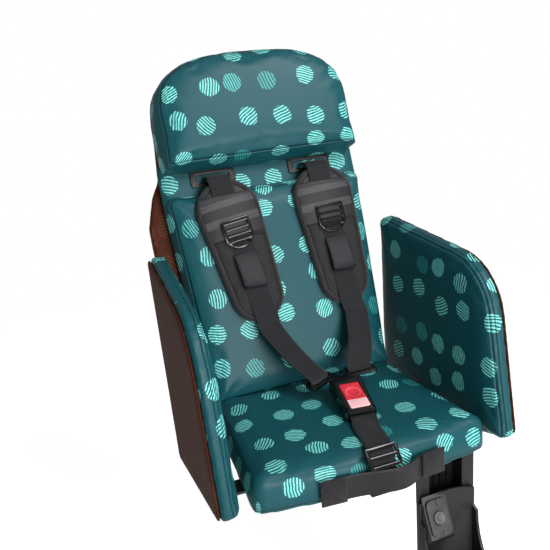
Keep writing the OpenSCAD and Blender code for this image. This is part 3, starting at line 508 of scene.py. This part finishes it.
HEAD_HALF = 0.1305
head_outline = (
    [(-HEAD_HALF, HEAD_BASE + 0.001), (HEAD_HALF, HEAD_BASE + 0.001)] + arched(HEAD_HALF, 0.062, 0.0815)
)
head_place = back_place @ Matrix.Translation((0, 0, -0.0265))
head_pad = foam_block("head_pad", head_outline, 0.056, 0.012, head_place, [0.001], cap=0.005,
                      origin=(0.22, 0.42))
head_pad.data.materials.append(teal_cloth)
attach(head_pad, "seat")
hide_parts("headrest")

# The side wings: a thin pad of foam on a plywood board, with a boxing strip sewn between its inner
# and its rear edge. They stand outside the seat and lean a little outwards.


def rounded_hull(circles, steps=7):
    """The outline drawn tightly round some circles (y, z, radius), listed anticlockwise."""
    points = []
    turns = []
    for (y0, z0, r0), (y1, z1, r1) in zip(circles, circles[1:] + circles[:1]):
        heading = math.degrees(math.atan2(z1 - z0, y1 - y0))
        turns.append(heading - math.degrees(math.acos((r0 - r1) / math.hypot(y1 - y0, z1 - z0))))
    for i, (y, z, r) in enumerate(circles):
        start = turns[i - 1]
        points += arc(y, z, r, start, start + (turns[i] - start) % 360, steps)
    return points


def wing_frame(side):
    mirror = Matrix.Scale(-1, 4, (1, 0, 0)) if side < 0 else Matrix()
    return (
        SEAT @ mirror @ Matrix.Translation((0.1445, 0.045, 0))
        @ Matrix.Rotation(math.radians(3.5), 4, "Z") @ Matrix.Rotation(math.radians(1.5), 4, "Y")
    )


wing_outline = rounded_hull([
    (0.0195, 0.1695, 0.0115), (-0.1275, 0.0915, 0.0790),
    (-0.2235, -0.0285, 0.0085), (0.0105, -0.0885, 0.0085),
])
upright = Matrix(((0, 0, 1, 0), (1, 0, 0, 0), (0, 1, 0, 0), (0, 0, 0, 1)))
for side, tag, offset in ((-1, "left", (0.13, 0.37)), (1, "right", (0.55, 0.71))):
    wing_pad = foam_block(f"wing_pad_{tag}", wing_outline, 0.0217, 0.006, wing_frame(side) @ upright,
                          [0.001, 0.0200], cap=0.0028, back_roll=0.002, voxel=0.0045, origin=offset)
    wing_pad.data.materials.append(teal_cloth)
    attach(wing_pad, "seat")
    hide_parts(f"wing_cushion_{tag}", f"wing_board_{tag}")

# The outer covers: coated cloth with faint stretched dots, on the wings' outer faces and,
# padded, round the back board. Their dark brown is painted shade with a painted warm reflection; the
# faint dots are print. The photograph has a brown strip at the viewer's left, above the wing.
# The rear cover's outline is made wider there to show it, on that side only, and its shape is a guess.
# Painted shade and a painted warm reflection: the brown base and dot colours stand in for light on the
# cover.
reflection_brown_cloth = dotted_cloth(
    "brown_dots", (0.058, 0.0125, 0.0036), (0.110, 0.036, 0.016), (0.082, 0.023, 0.009),
    dot_radius=0.012, roughness=0.6, stretch=1.25, strength=0.75, shine=0.12,
)
wing_back_outline = [(y * 0.985 - 0.0015, z * 0.985 + 0.0006) for y, z in wing_outline]
outward_face = upright @ Matrix.Translation((0, 0, 0.0250)) @ Matrix.Scale(-1, 4, (0, 0, 1))
for side, tag, offset in ((-1, "left", (0.33, 0.19)), (1, "right", (0.75, 0.21))):
    wing_back = foam_block(f"wing_back_{tag}", wing_back_outline, 0.0032, 0.0014,
                           wing_frame(side) @ outward_face, [0.004], cap=0.0006, back_roll=0.0004,
                           voxel=0.0022, origin=offset, pinned=0.0012, swell=1.0)
    wing_back.data.materials.append(reflection_brown_cloth)
    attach(wing_back, "seat")
    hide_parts(f"wing_cover_{tag}")

rear_outline = (
    [(-0.119, -0.036), (0.119, -0.036), (0.1255, 0.10), (0.1310, 0.19), (0.1360, 0.24), (0.1360, 0.272),
     (0.1300, 0.292)]
    + arched(0.1275, 0.062, 0.0775)[1:-1]
    + [(-0.1310, 0.292), (-0.1450, 0.272), (-0.1560, 0.235), (-0.1560, 0.19), (-0.1500, 0.15),
       (-0.1270, 0.10)]
)
rear_place = BACK @ Matrix(((1, 0, 0, 0), (0, 0, -1, 0.0612), (0, 1, 0, 0), (0, 0, 0, 1)))
rear_pad = foam_block("rear_pad", rear_outline, 0.0315, 0.009, rear_place, [0.003], cap=0.003,
                      back_roll=0.002, origin=(0.43, 0.31))
rear_pad.data.materials.append(reflection_brown_cloth)
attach(rear_pad, "seat")
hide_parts("back_cover")

# The webbing: strips laid along their routes, in a twill weave of dull black yarn. The routes repeat the
# straps' points in the CAD source, in the seat's frame, whose origin is the crease under the back rest.
BUCKLE_AT = Vector((0.017, -0.094, 0.0155))
BUCKLE_TURN = Matrix.Rotation(math.radians(-7.7), 3, "Z") @ Matrix.Rotation(math.radians(11), 3, "X")


def on_back(x, depth, height):
    """A point of the back rest's frame, in the seat's frame."""
    return Vector((
        x,
        depth * math.cos(LEAN) + height * math.sin(LEAN),
        height * math.cos(LEAN) - depth * math.sin(LEAN),
    ))


def on_buckle(x, y, z):
    return BUCKLE_AT + BUCKLE_TURN @ Vector((x, y, z))


def smooth_route(knots, gap=0.004):
    """A Catmull-Rom curve through some points, as evenly spaced points."""
    ends = [knots[0] * 2 - knots[1], *knots, knots[-1] * 2 - knots[-2]]
    fine = []
    for p0, p1, p2, p3 in zip(ends, ends[1:], ends[2:], ends[3:]):
        for i in range(12):
            t = i / 12
            fine.append(0.5 * (
                2 * p1 + (p2 - p0) * t + (2 * p0 - 5 * p1 + 4 * p2 - p3) * t * t
                + (3 * p1 - p0 - 3 * p2 + p3) * t * t * t
            ))
    fine.append(knots[-1].copy())
    far = [0.0]
    for a, b in zip(fine, fine[1:]):
        far.append(far[-1] + (b - a).length)
    rows = max(4, round(far[-1] / gap))
    spots = np.linspace(0, far[-1], rows + 1)
    return [Vector(np.interp(s, far, [p[k] for p in fine]) for k in range(3)) for s in spots], spots


def strip(name, knots, width, thick, turns=(0, 0), ends=(0, 1), upright_side=False, gap=0.004):
    """A flat strap along a route. Its width lies level, turned about +Z from one angle to another between
    two shares of its length, or stands upright. It keeps its flat place in "unrolled"."""
    route, along = smooth_route(knots, gap)
    shape = bmesh.new()
    bmesh.ops.create_grid(shape, x_segments=6, y_segments=len(route) - 1, size=0.5)
    mesh = bpy.data.meshes.new(name)
    shape.to_mesh(mesh)
    shape.free()
    grid = corners_of(mesh)
    flat = np.zeros((len(grid), 3), np.float32)
    placed = np.zeros((len(grid), 3), np.float32)
    for i, (u, v, _) in enumerate(grid):
        k = round((v + 0.5) * (len(route) - 1))
        way = (route[min(k + 1, len(route) - 1)] - route[max(k - 1, 0)]).normalized()
        share = min(1, max(0, (k / (len(route) - 1) - ends[0]) / (ends[1] - ends[0])))
        angle = math.radians(turns[0] + (turns[1] - turns[0]) * share)
        side = Vector((0, 0, 1)) if upright_side else Vector((math.cos(angle), math.sin(angle), 0))
        side = (side - way * side.dot(way)).normalized()
        placed[i] = SEAT @ (route[k] + side * (u * width))
        flat[i] = (u * width, along[k], (0.5 - abs(u)) * width)
    mesh.vertices.foreach_set("co", placed.ravel())
    piece = bpy.data.objects.new(name, mesh)
    scene.collection.objects.link(piece)
    lay_out(piece, flat)
    thicken = piece.modifiers.new("thick", "SOLIDIFY")
    thicken.thickness, thicken.offset, thicken.use_even_offset = thick, 0, True
    edge = piece.modifiers.new("edge", "BEVEL")
    edge.width, edge.segments, edge.limit_method = thick * 0.3, 2, "ANGLE"
    edge.angle_limit = math.radians(50)
    settle(piece)
    piece.data.shade_smooth()
    return piece


def woven(name, dark, light, pitch=0.0011, depth=0.00022, roughness=0.62, sheen=0.10, slant=1.0):
    """Narrow webbing: slanting twill ribs between two plain edges."""
    finish = Finish(name)
    flat = finish.unrolled()
    across, along, rim = finish.parts(flat)
    rib = ((across * slant + along) * (2 * math.pi / pitch)).math("SINE")
    yarn = (across * (2 * math.pi / (pitch * 0.8))).math("SINE")
    edge = rim.step(0.0030, 0.0022)
    weave = rib * (1 - edge) + yarn * edge
    fuzz = finish.noise(flat, 900, 3.0, 0.6)
    wear = finish.noise(flat, 34, 3.0)
    colour = finish.mix((weave * 0.25 + fuzz * 0.5 + wear * 0.35).step(0.1, 0.95), dark, light)
    groove = abs(rim - 0.0030).step(0.0006, 0.0002)
    colour = finish.mix(groove * 0.5, colour, tuple(c * 0.4 for c in dark))
    height = weave * 0.5 + fuzz * 0.4
    finish.shader.inputs["Sheen Weight"].default_value = sheen
    finish.shader.inputs["Sheen Roughness"].default_value = 0.4
    return finish.cover(
        Base_Color=colour, Roughness=roughness + (fuzz - 0.5) * 0.2, Specular_IOR_Level=0.3,
        Normal=finish.bump(height, depth),
    )


webbing_cloth = woven("webbing", (0.0075, 0.0075, 0.0090), (0.024, 0.025, 0.029))
# Heights on the back rest, how far the straps lie in front of it, and the webbing's size
SLOT_V, PAD_TOP, PAD_UPPER, PAD_LOWER = 0.282, 0.274, 0.232, 0.123
LIFT = -0.0148
WEB_WIDE, WEB_THICK = 0.030, 0.0018
SIDES = {
    "left": dict(sign=-1, top=-0.061, low=-0.046, ear=(-0.027, 0.0415), turn=30),
    "right": dict(sign=1, top=0.070, low=0.075, ear=(0.027, 0.049), turn=6),
}


def pad_x(side, height):
    return side["low"] + (side["top"] - side["low"]) * (height - PAD_LOWER) / (PAD_UPPER - PAD_LOWER)


def at_slot(side, up, over):
    a = math.radians(side["turn"])
    m = 0.0014 + up
    return on_buckle(side["ear"][0] - m * math.sin(a), side["ear"][1] + m * math.cos(a), over)


for tag, side in SIDES.items():
    x = side["sign"] * 0.067
    upper = strip(f"upper_strap_{tag}", [
        on_back(x, 0.0404, SLOT_V), on_back(x, 0.018, SLOT_V), on_back(x, 0.002, SLOT_V - 0.0005),
        on_back(x, -0.0075, SLOT_V - 0.002), on_back(pad_x(side, 0.275), LIFT + 0.0003, 0.274),
        on_back(pad_x(side, 0.265), LIFT, 0.266), on_back(pad_x(side, 0.240), LIFT, PAD_UPPER),
        on_back(pad_x(side, 0.200), LIFT, 0.212),
    ], WEB_WIDE, WEB_THICK)
    upper.data.materials.append(webbing_cloth)
    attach(upper, "seat")
    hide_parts(f"shoulder_strap_{tag}")
    loop = strip(f"anchor_loop_{tag}", [
        on_back(x, 0.0454 + 0.0053 * math.sin(t), SLOT_V + 0.0053 * math.cos(t))
        for t in (math.radians(a) for a in range(-86, 275, 20))
    ], WEB_WIDE, WEB_THICK, gap=0.002)
    loop.data.materials.append(webbing_cloth)
    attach(loop, "seat")
    low = PAD_TOP - 0.186
    lower = strip(f"hip_strap_{tag}", [
        on_back(pad_x(side, 0.190), LIFT, 0.206), on_back(pad_x(side, 0.155), LIFT, 0.155),
        on_back(pad_x(side, low), LIFT, low + 0.004),
        on_back(pad_x(side, low) + 0.002, LIFT - 0.002, low - 0.012),
        (on_back(pad_x(side, low) + 0.004, LIFT - 0.008, low - 0.026) + at_slot(side, 0.008, 0.010)) / 2
        + Vector((0, -0.001, -0.002)),
        at_slot(side, 0.005, 0.006), at_slot(side, 0.0006, 0.0024), at_slot(side, 0.0004, -0.0026),
        at_slot(side, 0.005, -0.0042), at_slot(side, 0.016, -0.0046),
    ], WEB_WIDE, WEB_THICK, turns=(0, side["turn"] - 7.7), ends=(0.45, 0.86))
    lower.data.materials.append(webbing_cloth)
    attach(lower, "seat")
    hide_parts(f"lower_strap_{tag}")

# The strap's arc over the seat's front edge: its centre and radius
ROLL_Y, STRAP_R = -0.186, 0.0138


def on_roll(x, angle, r):
    a = math.radians(angle)
    return Vector((x, ROLL_Y - r * math.sin(a), -0.012 + r * math.cos(a)))


crotch = strip("crotch_webbing", [
    on_buckle(0, -0.029, 0), on_buckle(0, -0.040, -0.0006),
    Vector((0.007, ROLL_Y + 0.040, 0.0055)), Vector((0.003, ROLL_Y + 0.012, 0.0048)),
    *[on_roll(-0.001 if a < 50 else -0.002, a, STRAP_R + max(0, 60 - a) * 0.00005)
      for a in (15, 30, 45, 60, 75, 90)],
    Vector((-0.0025, ROLL_Y - STRAP_R, -0.034)), Vector((-0.0025, ROLL_Y - STRAP_R, -0.0425)),
    Vector((-0.0025, ROLL_Y - 0.0115, -0.0440)), Vector((-0.0025, ROLL_Y + 0.034, -0.0440)),
], WEB_WIDE, WEB_THICK, turns=(-7.7, 0), ends=(0.08, 0.35), gap=0.003)
crotch.data.materials.append(webbing_cloth)
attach(crotch, "seat")
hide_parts("crotch_strap")

# The shoulder pads: quilted foam in diamond mesh below and plain satin above, two paler woven bars
# across the satin, a folded edge binding with a line of stitches, and a loop of the satin as keeper.
# A satin panel covers the strap at each pad's top.
NET_PITCH = 0.0019


def pad_finish():
    finish = Finish("pad_cloth")
    flat = finish.unrolled()
    across, along, _ = finish.parts(flat)
    satin = along.step(-0.0345, -0.0335)
    knots = (((across + along) * (math.pi / NET_PITCH)).math("SINE")
             * ((across - along) * (math.pi / NET_PITCH)).math("SINE"))
    mesh = knots.step(-0.1, 0.5)
    thread = finish.noise(finish.vector(across * 60, along * 1500), 1.0, 3.0, 0.6)
    crease = finish.noise(flat, 46, 3.0, 0.5)
    bars = (abs(along - 0.010).step(0.0048, 0.0036) + abs(along + 0.0125).step(0.0058, 0.0042)) * (
        finish.noise(finish.vector(across * 30, along * 130), 1.0, 2.0).step(0.2, 0.55) * 0.7 + 0.3
    )
    plain = finish.mix(thread * 0.6 + crease * 0.4, (0.0055, 0.0055, 0.0065), (0.017, 0.017, 0.020))
    plain = finish.mix(bars * 0.85, plain, (0.060, 0.058, 0.062))
    netted = finish.mix(mesh, (0.0015, 0.0015, 0.0018), (0.036, 0.036, 0.039))
    colour = finish.mix(satin, netted, plain)
    line = abs(along + 0.034).step(0.0011, 0.0004)
    height = mesh * (1 - satin) + (thread * 0.25 + crease * 1.2) * satin - line
    finish.shader.inputs["Sheen Weight"].default_value = 0.06
    return finish.cover(
        Base_Color=finish.mix(line * 0.8, colour, (0.002, 0.002, 0.002)),
        Roughness=0.62 - satin * 0.16 + thread * 0.1, Specular_IOR_Level=0.35,
        Normal=finish.bump(height, 0.0004),
    )


def binding_finish():
    finish = Finish("pad_binding")
    flat = finish.unrolled()
    across, along, _ = finish.parts(flat)
    twill = ((along + across * 0.7) * (2 * math.pi / 0.0009)).math("SINE")
    fuzz = finish.noise(flat, 1100, 2.0, 0.6)
    colour = finish.mix(twill * 0.2 + fuzz * 0.8, (0.013, 0.012, 0.014), (0.040, 0.036, 0.041))
    beat = (along / 0.0030).math("FRACT")
    stitch = abs(beat - 0.5).step(0.36, 0.30) * abs(abs(across) - 0.0022).step(0.0005, 0.0002)
    colour = finish.mix(stitch * 0.8, colour, (0.006, 0.0055, 0.006))
    finish.shader.inputs["Sheen Weight"].default_value = 0.15
    return finish.cover(
        Base_Color=colour, Roughness=0.78, Specular_IOR_Level=0.25,
        Normal=finish.bump(twill * 0.3 + fuzz * 0.5 - stitch * 1.5, 0.00025),
    )


def piping(name, outline, place, half_wide, half_deep, rings=10):
    """A closed rounded roll along an outline, flattened to its half width and half depth."""
    count = len(outline)
    shape = bmesh.new()
    loops = []
    for i in range(count):
        here = Vector(outline[i])
        way = (Vector(outline[(i + 1) % count]) - Vector(outline[i - 1])).normalized()
        out = Vector((way.y, -way.x))
        loops.append([
            shape.verts.new((
                here.x + out.x * half_wide * math.cos(t), here.y + out.y * half_wide * math.cos(t),
                half_deep * math.sin(t),
            )) for t in (2 * math.pi * k / rings for k in range(rings))
        ])
    edges = [[shape.edges.new((ring[k], ring[(k + 1) % rings])) for k in range(rings)] for ring in loops]
    for i in range(count):
        bmesh.ops.bridge_loops(shape, edges=edges[i] + edges[(i + 1) % count])
    bmesh.ops.recalc_face_normals(shape, faces=shape.faces)
    mesh = bpy.data.meshes.new(name)
    shape.verts.index_update()
    far = [0.0]
    for a, b in zip(outline, outline[1:]):
        far.append(far[-1] + math.dist(a, b))
    order = {}
    for i, ring in enumerate(loops):
        for k, vert in enumerate(ring):
            order[vert.index] = (half_wide * 1.3 * math.cos(2 * math.pi * k / rings), far[i], 0.0)
    shape.to_mesh(mesh)
    shape.free()
    roll = bpy.data.objects.new(name, mesh)
    scene.collection.objects.link(roll)
    lay_out(roll, [order[i] for i in range(len(mesh.vertices))])
    roll.data.transform(place)
    if place.determinant() < 0:
        roll.data.flip_normals()
    roll.data.shade_smooth()
    return roll


def stadium(top_r, low_r, length, inset, steps=22):
    """The outline round two circles, the lower one below the upper by the length, moved inwards."""
    shift = math.degrees(math.asin((top_r - low_r) / length))
    return (
        arc(0, 0, top_r - inset, -shift, 180 + shift, steps)
        + arc(0, -length, low_r - inset, 180 + shift, 360 - shift, steps)
    )


def drape_over(panel, top):
    """Lets a panel sink from the strap under its middle to the quilt at its sides, and measures its length
    from the same line as the quilt's."""
    spread = panel.data.attributes["unrolled"].data
    sink = BACK.to_3x3() @ Vector((0, 1, 0))
    for vert, flat in zip(panel.data.vertices, spread):
        across, along, _ = flat.vector
        share = min(1, max(0, (abs(across) - 0.014) / 0.022))
        vert.co += sink * (0.0040 * share * share * (3 - 2 * share))
        flat.vector = (across, top - PAD_UPPER - along, 0)


pad_cloth = pad_finish()
pad_binding = binding_finish()
satin_loop = woven("keeper_satin", (0.0022, 0.0026, 0.0045), (0.007, 0.008, 0.013), pitch=0.0007,
                   depth=0.00008, roughness=0.44, sheen=0.0, slant=0.0)
for tag, side in SIDES.items():
    span = math.hypot(side["top"] - side["low"], PAD_UPPER - PAD_LOWER)
    tilt = math.atan2(side["low"] - side["top"], PAD_UPPER - PAD_LOWER)
    place = (
        back_place @ Matrix.Translation((side["top"], PAD_UPPER, -0.0133)) @ Matrix.Rotation(tilt, 4, "Z")
    )
    quilt = foam_block(f"shoulder_quilt_{tag}", stadium(0.042, 0.035, span, 0.0042, 12), 0.0110, 0.0035,
                       place, [], cap=0.0022, back_roll=0.002, voxel=0.0032, pinned=0.004, swell=5.0)
    quilt.data.materials.append(pad_cloth)
    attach(quilt, "seat")
    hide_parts(f"shoulder_pad_{tag}")
    rim = piping(f"pad_binding_{tag}", stadium(0.042, 0.035, span, 0.0038, 26),
                 place @ Matrix.Translation((0, 0, 0.0052)), 0.0037, 0.0055)
    rim.data.materials.append(pad_binding)
    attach(rim, "seat")
    panel = strip(f"satin_panel_{tag}", [
        on_back(pad_x(side, v), d, v) for v, d in (
            (PAD_UPPER + 0.0215, -0.0150), (PAD_UPPER + 0.0190, -0.0166), (PAD_UPPER + 0.005, -0.0170),
            (PAD_UPPER - 0.015, -0.0171), (PAD_UPPER - 0.0330, -0.0169), (PAD_UPPER - 0.0345, -0.0155),
        )
    ], 0.0715, 0.0008, gap=0.0016)
    drape_over(panel, PAD_UPPER + 0.0215)
    panel.data.materials.append(pad_cloth)
    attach(panel, "seat")
    keeper = strip(f"keeper_loop_{tag}", [
        on_back(pad_x(side, v / 1000), d / 1000, v / 1000)
        for v, d in ((177, -17.6), (171, -19.4), (160, -20.8), (147, -21.6), (139, -21.4), (134.6, -20.2),
                     (134.2, -18.8), (138, -17.7), (148, -17.4), (156, -17.4))
    ], 0.0315, 0.0013, gap=0.0018)
    keeper.data.materials.append(satin_loop)
    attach(keeper, "seat")
    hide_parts(f"pad_keeper_{tag}")

# The elastic band across the front edge, in ribbed satin, and the two hook and loop patches that hold it.


def band_place(u):
    """A point of the band's middle line at x = u, in the seat's frame, as the CAD source has it."""
    share = u / (0.144 - 0.014)
    front = -0.186 - 0.012 * (1 - share * share)
    bow = (u + 0.0465) / 0.093
    out = 0.010 * math.sin(math.pi * bow ** 1.7) ** 1.3 if 0 < bow < 1 else 0.0
    return Vector((u, front - 0.0014 - out, -0.026))


elastic_band = strip("elastic_band", [
    band_place(-0.0705), band_place(-0.0465), *[band_place(0.0465 * (i / 5 - 1)) for i in range(1, 10)],
    band_place(0.0465), band_place(0.0705),
], 0.028, 0.0016, upright_side=True, gap=0.003)
elastic_band.data.materials.append(woven(
    "elastic", (0.0055, 0.0052, 0.0062), (0.023, 0.022, 0.026), pitch=0.0013, depth=0.00012, roughness=0.42,
    sheen=0.05, slant=0.0,
))
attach(elastic_band, "seat")
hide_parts("front_band")


def fuzzy_finish():
    finish = Finish("fuzzy_patch")
    where = finish.own_place()
    tuft = finish.noise(where, 620, 4.0, 0.7)
    clump = finish.noise(where, 150, 3.0, 0.6)
    pile = (tuft * 0.7 + clump * 0.5).step(0.25, 0.9)
    colour = finish.mix(pile, (0.0035, 0.0035, 0.0040), (0.024, 0.023, 0.026))
    finish.shader.inputs["Sheen Weight"].default_value = 0.2
    return finish.cover(
        Base_Color=colour, Roughness=0.9, Specular_IOR_Level=0.15,
        Normal=finish.bump(tuft + clump * 0.6, 0.0009),
    )


# The moulded parts: copies of their CAD solids, their faces joined and their edges rounded, in glossy
# nylon on the harness and in satin and grained plastic on the leg guard.


def moulded(node, body, finish, radius=0.0005, angle=32, segments=2):
    """A copy of a CAD node with rounded edges, which stands for it."""
    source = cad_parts[node]
    shape = bmesh.new()
    shape.from_mesh(source.data)
    bmesh.ops.remove_doubles(shape, verts=shape.verts, dist=0.00002)
    bmesh.ops.dissolve_limit(
        shape, angle_limit=math.radians(1.5), verts=shape.verts, edges=shape.edges,
        use_dissolve_boundaries=False,
    )
    bmesh.ops.recalc_face_normals(shape, faces=shape.faces)
    mesh = bpy.data.meshes.new(node + "_moulding")
    shape.to_mesh(mesh)
    shape.free()
    piece = bpy.data.objects.new(node + "_moulding", mesh)
    scene.collection.objects.link(piece)
    round_edge = piece.modifiers.new("round", "BEVEL")
    round_edge.width, round_edge.segments, round_edge.limit_method = radius, segments, "ANGLE"
    round_edge.angle_limit = math.radians(angle)
    settle(piece)
    piece.data.shade_smooth()
    piece.data.set_sharp_from_angle(angle=math.radians(38))
    piece.data.materials.append(finish)
    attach(piece, body)
    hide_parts(node)
    return piece


def plastic(name, dark, light, roughness, grain, grain_size, coat=0.0):
    finish = Finish(name)
    where = finish.own_place()
    fine = finish.noise(where, grain_size, 3.0, 0.6)
    broad = finish.noise(where, 28, 2.0)
    scuff = finish.noise(where, 210, 5.0, 0.7).step(0.56, 0.75)
    finish.shader.inputs["Coat Roughness"].default_value = 0.12
    return finish.cover(
        Base_Color=finish.mix(fine * 0.5 + broad * 0.5, dark, light),
        Roughness=roughness + (broad - 0.5) * 0.08 + scuff * 0.10,
        Coat_Weight=coat, Specular_IOR_Level=0.4, Normal=finish.bump(fine, grain),
    )


gloss_black = plastic(
    "gloss_black", (0.0025, 0.0025, 0.0028), (0.0045, 0.0045, 0.0048), 0.14, 0.00001, 900, 0.1,
)
satin_black = plastic("black_plastic", (0.0045, 0.0045, 0.0048), (0.010, 0.010, 0.0105), 0.42, 0.00005, 1500)
lock_grey = plastic("grey_plastic", (0.020, 0.020, 0.021), (0.038, 0.038, 0.040), 0.50, 0.00010, 1300)
button_grey = plastic("button_grey", (0.055, 0.055, 0.058), (0.080, 0.080, 0.084), 0.42, 0.00004, 1300)
for tag in SIDES:
    moulded(f"slot_bezel_{tag}", "seat", satin_black, 0.0006)
    moulded(f"strap_adjuster_{tag}", "seat", gloss_black, 0.0009, segments=3)
    moulded(f"buckle_tongue_{tag}", "seat", gloss_black, 0.0009, segments=3)
    moulded(f"band_patch_{tag}", "seat", fuzzy_finish(), 0.0004)
moulded("buckle_base", "seat", gloss_black, 0.0005)
moulded("buckle_cover", "seat", gloss_black, 0.0007, segments=3)
moulded("crotch_slider", "seat", gloss_black, 0.0010, segments=3)
moulded("leg_guard", "seat", satin_black, 0.0006)
moulded("footrest", "footrest", satin_black, 0.0006)
moulded("lock_plate", "footrest", lock_grey, 0.0008, segments=3)
moulded("lock_button", "lock_button", button_grey, 0.0005)


def button_finish():
    """Red nylon with a pressed ring on its face; its sloping lower third is painted paler as a painted
    highlight, and the ring carries a lighter painted highlight.
    """
    finish = Finish("red_button")
    where = finish.own_place()
    centre = SEAT @ BUCKLE_AT
    along_axis = BUCKLE_TURN @ Vector((0, 1, 0))
    across_axis = BUCKLE_TURN @ Vector((1, 0, 0))
    x, y, z = finish.parts(where)
    dx, dy, dz = x - centre.x, y - centre.y, z - centre.z
    up = dx * along_axis.x + dy * along_axis.y + dz * along_axis.z
    side = dx * across_axis.x + dy * across_axis.y + dz * across_axis.z
    # Painted highlight: the sloping lower third is painted pale pink.
    painted_highlight = up.step(-0.0128, -0.0136)
    ring = (side * side + (up - 0.001) * (up - 0.001)).math("SQRT")
    cloud = finish.noise(where, 300, 3.0, 0.6)
    red = finish.mix(cloud, (0.60, 0.012, 0.030), (0.74, 0.030, 0.055))
    # Painted highlight: a lighter red painted along the pressed ring.
    red = finish.mix(abs(ring - 0.0082).step(0.0022, 0.0) * 0.55, red, (0.86, 0.16, 0.19))
    return finish.cover(
        Base_Color=finish.mix(painted_highlight, red, (0.88, 0.50, 0.52)), Roughness=0.36 + cloud * 0.08 - painted_highlight * 0.08,
        Normal=finish.bump(abs(ring - 0.0082).step(0.0030, 0.0), 0.0004, finish.bump(cloud, 0.00002)),
    )


moulded("buckle_button", "buckle_button", button_finish(), 0.0006, segments=3)

# The hidden hardware keeps its CAD solids: powder-coated steel, bright zinc and birch plywood.


def metal(name, dark, light, metallic, roughness, grain_size):
    finish = Finish(name)
    where = finish.own_place()
    fine = finish.noise(where, grain_size, 4.0, 0.6)
    broad = finish.noise(where, 40, 2.0)
    return finish.cover(
        Base_Color=finish.mix(fine * 0.6 + broad * 0.4, dark, light), Metallic=metallic,
        Roughness=roughness + (fine - 0.5) * 0.14, Normal=finish.bump(fine, 0.00003),
    )


def plywood():
    finish = Finish("birch")
    where = finish.own_place()
    x, y, z = finish.parts(where)
    grain = finish.noise(finish.vector(x * 12, y * 160, z * 160), 1.0, 4.0, 0.6)
    ring = finish.noise(finish.vector(x * 3, y * 26, z * 26), 1.0, 3.0, 0.5)
    colour = finish.mix(grain * 0.6 + ring * 0.4, (0.36, 0.22, 0.11), (0.66, 0.47, 0.28))
    return finish.cover(Base_Color=colour, Roughness=0.58 + grain * 0.1, Normal=finish.bump(grain, 0.0001))


coated_steel = metal("steel", (0.022, 0.022, 0.023), (0.038, 0.038, 0.040), 0.0, 0.46, 1100)
zinc = metal("zinc", (0.46, 0.46, 0.47), (0.66, 0.66, 0.68), 1.0, 0.36, 700)
birch = plywood()
for finish, nodes in (
    (coated_steel, ("carrier_bracket", "corner_brackets", "wing_brackets")),
    (zinc, ("board_bolts", "board_nuts", "wing_bolts", "wing_nuts", "anchor_bar_left", "anchor_bar_right",
            "buckle_latch", "buckle_spring", "guard_screws", "lock_spring")),
    (birch, ("seat_board", "back_board")),
):
    for node in nodes:
        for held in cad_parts[node].material_slots:
            held.material = finish
